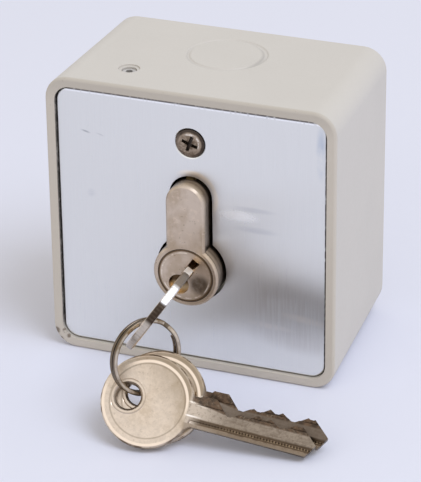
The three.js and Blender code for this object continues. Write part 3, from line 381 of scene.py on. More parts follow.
def lip_marks(finish, y, z):
    """The lip's front, the scuffs on it, most of them low down, and its dents."""
    front = y.ramp(BOX_LOW.y + 0.0012, BOX_LOW.y + 0.0002)
    low = z.ramp(BOX_LOW.z + 0.010, BOX_LOW.z + 0.001)
    specks = finish.cloud(420, 5, 0.7)
    scuffed = specks.ramp(0.66, 0.72) * (front * 0.3 + front * low * 0.4)
    dents = finish.spot(*LIP_DENTS[0])
    for dent in LIP_DENTS[1:]:
        dents = dents.most(finish.spot(*dent))
    return front, scuffed, finish.cloud(800).ramp(0.36, 0.52) * dents


def gap_darkening(finish, x, y, z):
    """Darker in the narrow gap between the lip and the plate, broken by noise."""
    beyond = x.size().most(z) - (PLATE_HIGH.x + 0.00035)
    sunk = y.ramp(BOX_LOW.y + 0.0002, BOX_LOW.y + 0.0005)
    sunk = sunk * y.ramp(BOX_LOW.y + 0.004, BOX_LOW.y + 0.003)
    above = z.ramp(BOX_LOW.z + 0.0035, BOX_LOW.z + 0.009)
    gritty = finish.cloud(900, 4).ramp(0.3, 0.55, 0.45, 1.0)
    return sunk * above * beyond.ramp(0.0002, -0.0001) * gritty


def knock_out_dust_and_shade(x, y, z):
    """Dust in the groove round the knock-out, and painted shade in it that widens and darkens
    towards its right.
    """
    back = y - (BOX_LOW.y + KNOCK_OUT_BACK)
    inward = KNOCK_OUT_RADIUS + 0.0001 - (x * x + back * back) ** 0.5
    rightward = x + back * 0.4
    width = rightward.ramp(0.002, 0.010, 0.0005, 0.0019)
    groove = inward.ramp(width, width * 0.1) * inward.ramp(-0.0003, 0.0)
    top = z.ramp(BOX_HIGH.z - 0.0012, BOX_HIGH.z - 0.0008)
    return groove * top * rightward.ramp(0.0, 0.010, 0.35, 1.0)


def moulded_finish():
    """Grey moulding with an even grain, its lip yellowed by handling and dented at a corner."""
    settings = look("key_switch_housing")
    finish = Finish("housing_moulding")
    x, y, z = finish.axes()
    base, lip = tuple(settings.colour), tuple(settings.lip)
    fine, coarse = finish.cloud(3000, 2), finish.cloud(1100)
    cloudy = finish.cloud(45).ramp(0.3, 0.7)
    front, scuffed, chipped = lip_marks(finish, y, z)
    marks = scuffed.most(chipped * 0.9)
    colour = finish.painted(
        finish.blend(cloudy, toned(base, 0.985), toned(base, 1.012)),
        (fine.ramp(0.55, 0.75) * 0.25, toned(base, 0.9)),
        (front * 0.8, finish.blend(z.ramp(0.030, 0.0365), lip, toned(lip, 0.84))),
        # dust and painted shade in the knock-out's groove
        (knock_out_dust_and_shade(x, y, z) * 0.75, toned(base, 0.52)),
        (marks, SCUFFED),
        (gap_darkening(finish, x, y, z) * 0.9, GAP_DARK),
    )
    rough = 0.5 + coarse.ramp(0.4, 0.7) * 0.08 - marks * 0.05
    normal = finish.bump(fine * 0.6 + coarse * 0.5 - chipped * 3.0, settings.grain, 0.05)
    return finish.done(colour, rough, normal)


def plate_scratches(finish):
    """A broken scratch at the upper left and fine ones below it, and a faint thumb mark."""
    scratch = finish.noise(finish.stretched((300, 300, 2600), (0, 0.5, 0)), detail=2)
    hurt = finish.streak((-27.3, 23.55), (1.7, 0.36), -14.0)
    hurt = hurt.most(finish.streak((-23.5, 23.2), (1.5, 0.3), -16.0) * 0.45)
    fine = scratch.ramp(0.64, 0.7) * finish.spot((-22.0, PLATE_FACE, 5.0), 3.5, 0.8)
    thumbed = finish.spot((-26.3, PLATE_FACE, 6.9), 1.6, 0.9) * scratch.ramp(0.3, 0.6)
    return hurt.most(fine * 0.5), thumbed


def brushed_finish():
    """Brushed metal with an upright grain, and painted reflections beside the lock and of the keys
    at its lower right.
    """
    settings = look("key_switch_plate")
    finish = Finish("brushed_plate")
    x, y, z = finish.axes()
    base = tuple(settings.colour)
    grain = finish.cloud((6500, 1500, 60), 5, 0.7)
    lines = finish.cloud((2600, 900, 22))
    smear = finish.cloud((28, 60, 430), 3, 0.5)
    upright = finish.cloud((1500, 900, 70), 4, 0.65)
    grit = finish.cloud((1300, 1300, 500), 4)
    hurt, thumbed = plate_scratches(finish)
    # a painted reflection beside the lock: a pale streak, with a dull one above and below it
    rubbed = finish.streak((12.5, 6.6), (6.5, 2.0)) * smear.ramp(0.3, 0.5)
    dull_reflections = finish.streak((16.0, 8.8), (7.5, 1.0)).most(finish.streak((17.0, 3.4), (7.0, 1.2)))
    # a painted reflection of the keys on the lower right: dark bands broken along the upright
    # grain, with pale streaks across them
    keys_reflection = finish.streak((25.0, -17.5), (17.0, 8.5), -9.0) * upright.ramp(0.36, 0.62)
    # the lower of the two dark bands of painted reflection
    under = finish.streak((27.0, -25.0), (17.0, 5.0), -5.0)
    under = under * upright.ramp(0.3, 0.6, 0.6, 1.0)
    reflected_streaks = finish.streak((29.5, -19.2), (8.0, 1.5), -6.0)
    reflected_streaks = reflected_streaks.most(finish.streak((21.0, -22.5), (8.0, 1.2), -4.0) * 0.6)
    # light thrown by the lock on the plate at the top of its web
    crown = z - (LOCK_HIGH.z - WEB_RADIUS)
    halo = ((x * x + crown * crown) ** 0.5).band(0.0066, 0.0009, 0.0002)
    halo = halo * (x + crown).ramp(0.001, 0.006)
    # bluish smudges where the film was peeled, at the upper right corner
    oily = finish.streak((33.4, 27.0), (1.6, 9.0)).most(finish.streak((17.0, 34.4), (5.0, 0.9)))
    oily = oily * finish.cloud((300, 300, 140), 4).ramp(0.35, 0.62)
    # the sheared edge: a painted highlight along the top, painted shade just under the lip at the
    # top, and a painted shadow with grit specks against the lip at the sides, strongest at the
    # right
    side, down = PLATE_HIGH.x - x.size(), PLATE_HIGH.z - z
    dark = side.ramp(0.00044, 0.00022) * grit.ramp(0.3, 0.55, 0.3, 1.0)
    dark = dark * x.ramp(-0.01, 0.02, 0.6, 1.0)
    bright = down.ramp(0.0011, 0.0009) * down.ramp(0.0004, 0.0006)
    shade = down.ramp(0.00062, 0.00045) * grit.ramp(0.3, 0.5, 0.55, 1.0)
    colour = finish.painted(
        finish.blend(grain.ramp(0.3, 0.7), toned(base, 0.97), base),
        (hurt * 0.55, SCRATCH_GREY),
        (thumbed * 0.22, SMUDGE_AND_REFLECTION_GREY),
        (rubbed * 0.95, PLATE_REFLECTION_WHITE),
        (dull_reflections * smear.ramp(0.3, 0.6) * 0.3, SMUDGE_AND_REFLECTION_GREY),
        (keys_reflection * 0.22, KEYS_REFLECTION_BROWN),
        (under * 0.42, LOWER_REFLECTION_BROWN),
        (reflected_streaks * upright.ramp(0.3, 0.55) * 0.45, REFLECTED_STREAK_CREAM),
        (halo * 0.8, LOCK_GLOW),
        (oily * 0.4, FILM_BLUE),
        (dark * 0.85, EDGE_SHADOW_GRIT),
        (bright * grit.ramp(0.3, 0.5), EDGE_HIGHLIGHT_WHITE),
        (shade * 0.85, EDGE_SHADE),
    )
    rough = 0.24 + grain * 0.1 + hurt * 0.2 - rubbed * 0.06 + oily * 0.1
    normal = finish.bump(grain + lines * 0.25 - hurt * 1.5, settings.brushing, 0.012)
    return finish.done(colour, rough, normal, metallic=1.0, anisotropic=0.8)


# Tones of the lock, from the painted shade on its sides to the brass under its plating, and the
# painted shade, reflection, highlight and light on the plug's face
SIDE_BROWN, TURNING_BROWN = (0.13, 0.09, 0.06), (0.10, 0.07, 0.045)
STEP_BROWN, PLUG_REFLECTION_BROWN = (0.09, 0.06, 0.04), (0.12, 0.088, 0.06)
RIM_BROWN, SEAT_AND_SHADE_BROWN, RIM_HIGHLIGHT = (0.11, 0.065, 0.03), (0.10, 0.06, 0.03), (0.95, 0.85, 0.72)
LIT_BRASS, OLD_BRASS = (1.0, 0.74, 0.42), (0.55, 0.32, 0.11)


def plug_coats(finish, places, radius, cloud, patch, stain):
    """The plug's face: painted shade and a painted reflection of the key, the lines of its rim with
    a painted highlight, and brass within the keyway, painted lit low on its left and at its top and
    shaded elsewhere.
    """
    x, y, z = places
    # painted shade of the key, darker towards the right
    plug_key_shade = x.ramp(-0.001, 0.0065) * patch.ramp(0.3, 0.6, 0.3, 1.0)
    # a painted reflection of the key
    plug_key_reflection = finish.spot((3.7, LOCK_FACE, -11.7), 3.6, 0.6)
    plug_key_reflection = plug_key_reflection.most(finish.spot((5.0, LOCK_FACE, -12.9), 2.7, 0.6))
    # a painted highlight just inside the rim
    line = radius.band(PLUG_HIGH.x - 0.00085, 0.00028, 0.00005)
    rim = radius.ramp(PLUG_HIGH.x - 0.00055, PLUG_HIGH.x - 0.0003)
    depth = y.ramp(LOCK_LOW.y + 0.0004, LOCK_LOW.y + 0.0012)
    # painted light on the brass in the keyway, low on the left and at the top; the rest of it is
    # painted shade
    lit = x.ramp(-0.0010, -0.0034, 0.4, 1.0)
    lit = lit * z.ramp(AXIS_HEIGHT - 0.0020, AXIS_HEIGHT - 0.0042)
    lit = lit * cloud.ramp(0.3, 0.5, 0.6, 1.0)
    lit = lit.most(z.ramp(AXIS_HEIGHT + 0.0006, AXIS_HEIGHT + 0.0020))
    return (
        (plug_key_shade * 0.5, toned(stain, 0.8)),
        (plug_key_reflection * cloud.ramp(0.3, 0.55, 0.72, 1.0) * 0.95, PLUG_REFLECTION_BROWN),
        (radius.ramp(0.0052, 0.0066) * 0.4, stain),
        (line * cloud.ramp(0.4, 0.6) * 0.8, RIM_HIGHLIGHT),
        (rim * 0.9, RIM_BROWN),
        (depth * radius.ramp(0.0062, 0.0058), finish.blend(lit, SEAT_AND_SHADE_BROWN, LIT_BRASS)),
    )


def barrel_coats(y, z, radius):
    """The lock's body: a turned line round the barrel, and the brassy seat of the plug."""
    step = y.band(LOCK_LOW.y + 0.00085, 0.00022, 0.00006) * z.ramp(0.0, -0.004)
    rim = radius.ramp(0.0074, 0.0070) * radius.ramp(0.0060, 0.0066)
    depth = y.ramp(LOCK_LOW.y + 0.0006, LOCK_LOW.y + 0.0014)
    return (
        (step * 0.8, STEP_BROWN),
        (rim * 0.85, SEAT_AND_SHADE_BROWN),
        (depth * radius.ramp(0.0067, 0.0064), OLD_BRASS),
    )


def nickel_finish(name, turned):
    """Satin plating over brass. The plug's face is turned, so it carries fine rings."""
    settings = look("key_switch_lock")
    finish = Finish(name)
    x, y, z = finish.axes()
    across = z - AXIS_HEIGHT
    radius = (x * x + across * across) ** 0.5
    cloud = finish.cloud(420, 6, 0.65)
    patch = finish.cloud((150, 150, 120), 4)
    pits = finish.cloud(1300, 4).ramp(0.64, 0.72)
    sides = y.ramp(LOCK_LOW.y + 0.0002, LOCK_LOW.y + 0.0024, smooth=False)
    turnings = finish.cloud((120, 1900, 120), 4, 0.6).ramp(0.42, 0.6)
    worn = finish.worn() * cloud.ramp(0.35, 0.55, 0.3, 1.0)
    base, stain = tuple(settings.colour), tuple(settings.stain)
    if turned:
        aged = ()
        coats = plug_coats(finish, (x, y, z), radius, cloud, patch, stain)
    else:
        aged = ((z.ramp(0.006, -0.004) * 0.5 * cloud.ramp(0.3, 0.6, 0.4, 1.0), stain),)
        coats = barrel_coats(y, z, radius)
    colour = finish.painted(
        base,
        (patch.ramp(0.42, 0.62) * 0.55, stain),
        (cloud.ramp(0.55, 0.68) * 0.4, toned(base, 1.3)),
        *aged,
        (pits * 0.55, toned(stain, 0.45)),
        (sides * 0.85, SIDE_BROWN),
        (sides * turnings * 0.7, TURNING_BROWN),
        *coats,
        (worn * 0.6, toned(base, 1.6)),
    )
    rings = (radius * TURNED_WAVES).sine() * (0.5 if turned else 0.12)
    lines = finish.cloud((90, 2600, 90))
    rough = 0.22 + cloud * 0.18 + pits * 0.2
    normal = finish.bump(rings * 0.25 + lines * 0.6 + cloud * 0.9 - pits * 1.2, 0.3, 0.03)
    return finish.done(colour, rough, normal, metallic=1.0)


# Tones of the keys, from the bow's edge and hole to the blade's flat, cuts and grooves
HOLE_DARK, MILLED_BROWN = (0.20, 0.135, 0.075), (0.15, 0.115, 0.085)
TARNISHED_EDGE, CLEAN_EDGE = (0.17, 0.115, 0.07), (0.62, 0.52, 0.40)
DRAWN_DARK, DRAWN_PALE = (0.20, 0.155, 0.112), (0.27, 0.22, 0.165)
GRAIN_PALE, SPECK_BROWN = (0.36, 0.295, 0.225), (0.13, 0.095, 0.066)
BLADE_BROWN = (0.09, 0.064, 0.045)
SCOOP_BRIGHT, BRIM_BRIGHT, WORN_BRIGHT = (0.95, 0.86, 0.74), (1.0, 0.93, 0.84), (1.0, 0.90, 0.76)
CUT_DARK, CUT_BROWN, CUT_PALE = (0.055, 0.038, 0.026), (0.135, 0.085, 0.052), (0.34, 0.27, 0.19)
GROOVE_DARK, GROOVE_BROWN = (0.045, 0.028, 0.016), (0.13, 0.085, 0.048)
LEDGE_TAN, GROOVE_EDGE, SPINE_BROWN = (0.60, 0.45, 0.28), (0.50, 0.38, 0.25), (0.20, 0.145, 0.095)
TOP_HIGHLIGHT, RUBBED_BROWN, RUBBED_BRASS = (1.0, 0.97, 0.93), (0.50, 0.27, 0.10), (1.0, 0.80, 0.52)

# Painted reflections round the edge of the first key's bow, bright and dark bands by share of a
# turn, from its back
REFLECTED_WHITE, REFLECTED_PALE, REFLECTED_DULL = (1.0, 0.98, 0.95), (0.56, 0.50, 0.43), (0.25, 0.205, 0.165)
REFLECTED_BLACK = (0.035, 0.022, 0.015)
FIRST_KEY_EDGE_REFLECTIONS = (
    (0.0, REFLECTED_PALE), (0.10, REFLECTED_PALE), (0.14, REFLECTED_DULL), (0.782, REFLECTED_DULL),
    (0.796, REFLECTED_WHITE), (0.864, REFLECTED_WHITE), (0.876, REFLECTED_BLACK), (0.948, REFLECTED_BLACK),
    (0.962, REFLECTED_PALE), (1.0, REFLECTED_PALE),
)


def bow_metal(finish, base, places, texture, edge_reflections):
    """The bow's colour, the distance from its centre, and the milled marks on its edge.

    It has a fine line inside its rim, painted highlights and shade on the rim, painted shade
    towards its upper side, darker metal round the hole's edge, and a tarnished edge, but for the
    first key's edge, which has bands of painted reflection."""
    length, height = places
    cloud, patch, specks, grain = texture
    warm = (base[0] * 0.84, base[1] * 0.76, base[2] * 0.62)
    across = length - BOW_AHEAD
    radius = (across * across + height * height) ** 0.5
    eye = (length * length + height * height) ** 0.5
    upper = height * 0.85 + across * 0.5
    sideways = height * 0.62 + across * 0.78
    # painted shade, darker towards the bow's upper side and broken by noise
    upper_shade = sideways.ramp(0.0008, 0.0095) * patch.ramp(0.25, 0.6, 0.55, 1.0)
    inner = radius.band(BOW_FLAT + 0.00005, 0.00028, 0.00008)
    # a painted highlight on the rim's inner slope at the upper right with a painted shade line
    # outside it, and a painted highlight on the outer rim at the lower left
    shine = radius.band(BOW_FLAT + 0.0006, 0.00045, 0.0002)
    shadow = radius.band(BOW_FLAT + 0.00135, 0.0005, 0.0002)
    outer = radius.band(BOW_RADIUS - 0.0006, 0.0006, 0.0002)
    collar = eye.band(BOW_HOLE + 0.0011, 0.0002, 0.00006)
    edge = radius.ramp(BOW_RADIUS - 0.0004, BOW_RADIUS - 0.0002)
    turn = height.turned_from(across)
    milled = (turn * MILLED_MARKS).sine().ramp(-0.2, 0.4)
    # the first key's edge: bands of painted reflection round the bow
    if edge_reflections:
        share = turn / FULL_TURN + 0.5
        tone = finish.node("ShaderNodeValToRGB", {"stops": edge_reflections}, {0: share})
        tone = finish.blend(milled * cloud.ramp(0.4, 0.6) * 0.3, tone, MILLED_BROWN)
    else:
        streaky = finish.cloud(260, 4).ramp(0.42, 0.58)
        tone = finish.blend(streaky, TARNISHED_EDGE, CLEAN_EDGE)
    colour = finish.painted(
        base,
        (patch.ramp(0.38, 0.66) * 0.5, warm),
        (cloud.ramp(0.48, 0.62) * 0.35, toned(base, 1.22)),
        (grain.ramp(0.42, 0.6) * 0.4, toned(base, 1.22)),
        (specks.ramp(0.56, 0.7) * 0.35, toned(warm, 0.55)),
        (upper_shade * 0.72, toned(warm, 0.62)),
        (inner * 0.45, toned(warm, 0.42)),
        (shine * upper.ramp(0.002, 0.006) * 0.85, toned(base, 1.5)),
        (shadow * upper.ramp(0.001, 0.006) * 0.6, toned(warm, 0.5)),
        (outer * upper.ramp(-0.001, -0.006) * 0.8, toned(base, 1.45)),
        (collar * 0.35, toned(warm, 0.45)),
        (eye.ramp(BOW_HOLE + 0.00035, BOW_HOLE + 0.00005) * 0.7, HOLE_DARK),
        (edge * 0.97, tone),
    )
    return colour, radius, milled * edge


def blade_metal(finish, base, places, texture, clean):
    """The blade: drawn lines on its flat, brown cuts, dark grooves with a milled line."""
    length, height = places
    cloud, specks, grain, drawn = texture
    # the flat's upper end, which falls from the bow to the roots of the teeth
    brink = height - length.ramp(0.0150, 0.0235, 0.0026, 0.00115, False)
    scoop = brink.band(-0.00012, 0.00026, 0.00008) * length.ramp(0.0205, 0.0150)
    toothed = brink.ramp(0.0, 0.00045) * length.ramp(0.0148, 0.0158)
    rusty = finish.painted(
        finish.blend(cloud.ramp(0.42, 0.6), CUT_DARK, CUT_BROWN),
        (specks.ramp(0.52, 0.7) * 0.6, CUT_PALE),
    )
    groove = height.ramp(-0.00285, -0.0026) * height.ramp(-0.0010, -0.00135)
    groove = groove * length.ramp(0.0148, 0.0190)
    brim = height.band(-0.00088, 0.00028, 0.0001) * length.ramp(0.0195, 0.0150)
    cutter = ((length * CUTTER_WAVES).sine() + (cloud - 0.5) * 5.0).ramp(-0.1, 0.9)
    ledge = height.band(-0.00190, 0.00028, 0.00008) * cutter
    ledge = ledge * length.ramp(0.0205, 0.0290, 0.15, 1.0)
    lower = height.band(-0.00265, 0.00022, 0.00006) * cloud.ramp(0.42, 0.55)
    return finish.painted(
        finish.blend(drawn.ramp(0.3, 0.7), DRAWN_DARK, DRAWN_PALE),
        (grain.ramp(0.45, 0.6) * 0.4, GRAIN_PALE),
        (length.ramp(0.0265, 0.0155) * 0.95, toned(base, 0.88)),
        (specks.ramp(0.5, 0.68) * 0.5, SPECK_BROWN),
        (1.0 - clean, BLADE_BROWN),
        (scoop * 0.9, SCOOP_BRIGHT),
        (toothed * 0.93, rusty),
        (brim * 0.9, BRIM_BRIGHT),
        (groove * 0.88, finish.blend(grain, GROOVE_DARK, GROOVE_BROWN)),
        (ledge * groove * 0.75, LEDGE_TAN),
        (lower * groove * 0.5, GROOVE_EDGE),
        (height.ramp(-0.0026, -0.0029) * 0.6, SPINE_BROWN),
    )


def key_finish(name, hole, along, up, edge_reflections=None, clean=1.0):
    """Nickel silver, worn smooth on the bow's rim, dark in the blade's cuts and grooves.

    hole is the centre of the hole, along points to the tip and up to the teeth, in metres.
    The tones round the bow's edge, given as shares of a turn with their colours, are painted
    reflections, and with them the top of the blade gets a painted highlight and rubbed brass; clean
    is 1 for a blade with bare flats and less for a browner one."""
    settings = look("key_switch_keys")
    finish = Finish(name)
    offset = finish.vector("SUBTRACT", finish.place(), tuple(hole), output=0)
    ways = (along, up, along.cross(up))
    length, height, face = (finish.vector("DOT_PRODUCT", offset, tuple(way)) for way in ways)
    cloud, patch = finish.cloud(420, 6, 0.75), finish.cloud(110, 4)
    specks, grain = finish.cloud(1300, 4, 0.7), finish.cloud(900, 4, 0.7)
    drawn = finish.noise(finish.joined(length * 200.0, height * 6500.0, face * 900.0), detail=4)
    base, places = tuple(settings.colour), (length, height)
    texture = (cloud, patch, specks, grain)
    bow, radius, milled = bow_metal(finish, base, places, texture, edge_reflections)
    texture = (cloud, specks, grain, drawn)
    flat = blade_metal(finish, base, places, texture, clean)
    root = radius.ramp(BOW_RADIUS - 0.0001, BOW_RADIUS + 0.0003)
    blade = length.ramp(0.0143, 0.0152).most(root * length.ramp(0.010, 0.011))
    worn = finish.worn() * cloud.ramp(0.35, 0.55, 0.4, 1.0)
    colour = finish.painted(bow, (blade, flat), (worn * 0.9, WORN_BRIGHT))
    if edge_reflections:
        # the top of the blade at the lock: a painted highlight, then brass rubbed off the keyway
        top = height.ramp(0.0042, 0.00445) * length.ramp(0.0165, 0.0175)
        mouth = length.ramp(0.0208, 0.0214) * length.ramp(0.0262, 0.0245)
        rubbed = (length * RUBBED_WAVES).sine().ramp(-0.3, 0.3)
        brassy = finish.blend(rubbed, RUBBED_BROWN, RUBBED_BRASS)
        brassed = mouth * height.ramp(0.0008, 0.0014)
        colour = finish.painted(colour, (top, TOP_HIGHLIGHT), (brassed, brassy))
    rough = 0.26 + cloud * 0.16 + blade * 0.06
    normal = finish.bump(drawn * 0.6 + milled * 0.5 + cloud - specks * 0.8, 0.35, 0.035)
    return finish.done(colour, rough, normal, metallic=1.0)


# Tones of the ring's wire and of the plate's screw, with their painted highlights and shade
WIRE_TARNISH, WIRE_HIGHLIGHT, WIRE_SHADE = (0.27, 0.20, 0.12), (0.80, 0.71, 0.58), (0.085, 0.06, 0.036)
HEAD_PALE, HEAD_DARK, HEAD_HIGHLIGHT = (0.38, 0.30, 0.225), (0.19, 0.14, 0.098), (0.85, 0.77, 0.67)
HEAD_RIM_SHADOW, DRIVE_RUST = (0.055, 0.042, 0.034), (0.085, 0.055, 0.035)
DRIVE_GRIME = (0.07, 0.055, 0.045)


def ring_finish(centre, axis, radius):
    """Tarnished wire, with painted shade between the coils and at its sides and a painted highlight
    along its middle.
    """
    settings = look("key_switch_keys")
    finish = Finish("split_ring_wire")
    cloud, patch = finish.cloud(500, 4), finish.cloud(150, 4)
    offset = finish.vector("SUBTRACT", finish.place(), tuple(centre), output=0)
    height = finish.vector("DOT_PRODUCT", offset, tuple(axis))
    reach = finish.vector("LENGTH", offset)
    out = (reach * reach - height * height).most(0.0) ** 0.5 - radius
    # a painted highlight along the wire's middle, and painted shade at its sides and between the
    # coils
    middle = out.size().ramp(0.00034, 0.00012) * cloud.ramp(0.35, 0.6)
    sides = out.size().ramp(0.00036, 0.00052)
    sides = sides.most(height.size().ramp(0.00032, 0.00020))
    colour = finish.painted(
        finish.blend(patch.ramp(0.4, 0.6), toned(settings.colour, 0.72), WIRE_TARNISH),
        (middle * 0.6, WIRE_HIGHLIGHT),
        (sides * 0.8, WIRE_SHADE),
    )
    return finish.done(colour, 0.2 + cloud * 0.2, finish.bump(cloud, 0.3, 0.03), metallic=1.0)


def screw_finish():
    """The plate screw: dull nickel with a painted highlight at its upper right, painted shadow
    round its edge, heaviest at the upper right, and grime in its cross.
    """
    finish = Finish("plate_screw_nickel")
    x, y, z = finish.axes()
    across = z - (SCREW_LOW.z + SCREW_HIGH.z) / 2
    radius = (x * x + across * across) ** 0.5
    cloud = finish.cloud(900, 5, 0.65)
    # a painted highlight arc at the upper right, and painted shadow in the gap round the head
    arc = radius.band(0.00245, 0.0004, 0.0001) * (x + across).ramp(0.0004, 0.0022)
    rim = radius.ramp(0.0028, 0.0032) * (x + across).ramp(-0.004, 0.001, 0.45, 1.0)
    drive = radius.ramp(0.0017, 0.0006) * cloud.ramp(0.3, 0.55, 0.4, 1.0)
    deep = y.ramp(SCREW_LOW.y + 0.0005, SCREW_LOW.y + 0.0011)
    colour = finish.painted(
        finish.blend(cloud.ramp(0.42, 0.62), HEAD_PALE, HEAD_DARK),
        (arc * cloud.ramp(0.4, 0.55), HEAD_HIGHLIGHT),
        (rim * 0.9, HEAD_RIM_SHADOW),
        (drive * 0.85, DRIVE_RUST),
        (deep * radius.ramp(0.0027, 0.0024), DRIVE_GRIME),
    )
    return finish.done(colour, 0.3 + cloud * 0.25, finish.bump(cloud, 0.35, 0.04), metallic=1.0)


def plain_metal(name, colour, dark, rough=0.3):
    finish = Finish(name)
    cloud, patch = finish.cloud(900, 4), finish.cloud(150)
    tone = finish.painted(
        colour,
        (patch.ramp(0.35, 0.7), dark),
        (cloud.ramp(0.62, 0.72) * 0.5, toned(dark, 0.6)),
    )
    return finish.done(tone, rough + cloud * 0.18, finish.bump(cloud, 0.2, 0.02), metallic=1.0)


def plain_moulding(name, colour, rough=0.5):
    finish = Finish(name)
    cloud = finish.cloud(120, 4)
    tone = finish.blend(cloud.ramp(0.3, 0.7), colour, toned(colour, 0.82))
    grain = finish.cloud(2200, 2)
    return finish.done(tone, rough + cloud * 0.1, finish.bump(grain, 0.15, 0.03))


# Pieces


def evaluated(piece):
    """A plain mesh of a piece with its modifiers applied."""
    graph = bpy.context.evaluated_depsgraph_get()
    return bpy.data.meshes.new_from_object(piece.evaluated_get(graph))


def shade(data, angle):
    """Shades a mesh smooth, but for the edges that turn by more than an angle."""
    for polygon in data.polygons:
        polygon.use_smooth = True
    data.set_sharp_from_angle(angle=angle)


def dressed_copy(node, edge, material, slot):
    """A smooth copy of a solid with its edges broken, standing for that solid."""
    source = frame["nodes"][node]
    mesh = bmesh.new()
    mesh.from_mesh(source.data)
    bmesh.ops.remove_doubles(mesh, verts=mesh.verts, dist=MERGED)
    bmesh.ops.dissolve_limit(mesh, angle_limit=FLAT_ANGLE, verts=mesh.verts, edges=mesh.edges)
    data = bpy.data.meshes.new(node + "_dressed")
    mesh.to_mesh(data)
    mesh.free()
    piece = bpy.data.objects.new(node + "_dressed", data)
    bpy.context.collection.objects.link(piece)
    shade(data, SMOOTH_ANGLE)
    # the bevel gives its faces the second slot, which note_edges reads and then drops
    data.materials.append(material)
    data.materials.append(material)
    if edge > 0:
        bevel = piece.modifiers.new("Edges", "BEVEL")
        bevel.material = 1
        bevel.width = edge
        bevel.segments = 2
        bevel.limit_method = "ANGLE"
        bevel.angle_limit = BROKEN_ANGLE
        bevel.use_clamp_overlap = True
        bevel.miter_outer = "MITER_ARC"
    smooth = piece.modifiers.new("Corners", "WEIGHTED_NORMAL")
    smooth.keep_sharp = True
    baked = evaluated(piece)
    piece.modifiers.clear()
    piece.data = baked
    baked.name = node + "_dressed"
    note_edges(baked)
    baked.materials.clear()
    baked.materials.append(material)
    settle(piece, source["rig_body"], slot, node)


def note_edges(data):
    """Keeps a 1 at the points that lie within the broken edges, for the finishes to read."""
    inside = [1.0] * len(data.vertices)
    for polygon in data.polygons:
        if polygon.material_index != 1:
            for point in polygon.vertices:
                inside[point] = 0.0
        polygon.material_index = 0
    data.attributes.new(EDGE_NAME, "FLOAT", "POINT").data.foreach_set("value", inside)


def settle(piece, body, slot, *nodes):
    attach(piece, body)
    if nodes:
        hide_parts(*nodes)


def called(*beginnings):
    return [name for name in frame["nodes"] if name.startswith(beginnings)]


def recoloured(names, material):
    for name in names:
        data = frame["nodes"][name].data
        data.materials.clear()
        data.materials.append(material)


# Each key's joint at its hole, and its turn about the vertical, lean back and droop of the tip
KEY_POSES = {
    "key_1": ("ring_swing", 90.0, -34.1, 0.0),
    "key_2": ("key_2_swing", 12.46, 40.79, 11.08),
    "key_3": ("key_3_swing", 12.46, 40.79, 9.85),
}
# The ring's turn about the vertical and its lean, and where round it one coil climbs to the next
RING_YAW, RING_LEAN = math.radians(54.96), math.radians(-8.61)
RING_TURN = Matrix.Rotation(RING_YAW, 3, "Z") @ Matrix.Rotation(RING_LEAN, 3, "X")
RING_CLIMB = (math.radians(18), math.radians(52))
RING_INPUTS = (
    "Radius", "Pitch", "Wire Width", "Wire Height", "Climb Start", "Climb End", "Steps",
)
# Rounding of the wire's corners, as a share of its thickness
WIRE_ROUNDING = 0.34


def key_frame(node):
    """Centre of a key's hole, and the directions of its blade and of its teeth."""
    joint, *angles = KEY_POSES[node]
    yaw, lean, droop = (math.radians(angle) for angle in angles)
    turn = Matrix.Rotation(yaw, 3, "Z") @ Matrix.Rotation(-lean, 3, "X")
    turn = turn @ Matrix.Rotation(droop, 3, "Y")
    hole = next(j["pos_m"] for j in frame["joints"] if j["name"] == joint)
    return Vector(hole), turn @ Vector((1, 0, 0)), turn @ Vector((0, 0, 1))


def ring_tree(material):
    """Two flat coils joined by one climb, swept with a soft-cornered section."""
    group = bpy.data.node_groups.new("split_ring", "GeometryNodeTree")
    face = group.interface
    face.new_socket("Geometry", in_out="OUTPUT", socket_type="NodeSocketGeometry")
    for name in RING_INPUTS:
        kind = "NodeSocketInt" if name == "Steps" else "NodeSocketFloat"
        face.new_socket(name, in_out="INPUT", socket_type=kind)
    wire = Tree(group)
    node, given = wire.node, wire.nodes.new("NodeGroupInput").outputs
    radius, pitch, width, height, climb_start, climb_end, steps = (
        Socket(wire, given[name]) for name in RING_INPUTS
    )
    share = node("GeometryNodeInputIndex") / (steps - 1.0)
    angle = climb_end + share * (2 * FULL_TURN - (climb_end - climb_start))
    climb = angle.ramp(climb_start + FULL_TURN, climb_end + FULL_TURN)
    # the ring is wound flat, its axis upright, so that the wire's section stays square to it
    point = wire.joined(radius * angle.sine(), radius * angle.cosine(), pitch * (climb - 0.5))
    line = node("GeometryNodeMeshLine", None, {"Count": steps})
    placed = node("GeometryNodeSetPosition", None, {"Geometry": line, "Position": point})
    curve = node("GeometryNodeMeshToCurve", None, {"Mesh": placed})
    upright = node("GeometryNodeSetCurveNormal", {"mode": "Z_UP"}, {"Curve": curve})
    inputs = {"Width": width, "Height": height}
    section = node("GeometryNodeCurvePrimitiveQuadrilateral", {"mode": "RECTANGLE"}, inputs)
    inputs = {"Curve": section, "Radius": height * WIRE_ROUNDING, "Count": 3}
    rounded = node("GeometryNodeFilletCurve", {"mode": "POLY"}, inputs)
    inputs = {"Curve": upright, "Profile Curve": rounded, "Fill Caps": True}
    swept = node("GeometryNodeCurveToMesh", None, inputs)
    real = node("GeometryNodeRealizeInstances", None, {"Geometry": swept})
    coated = node("GeometryNodeSetMaterial", None, {"Geometry": real, "Material": material})
    wire.close("NodeGroupOutput", coated.output)
    return group


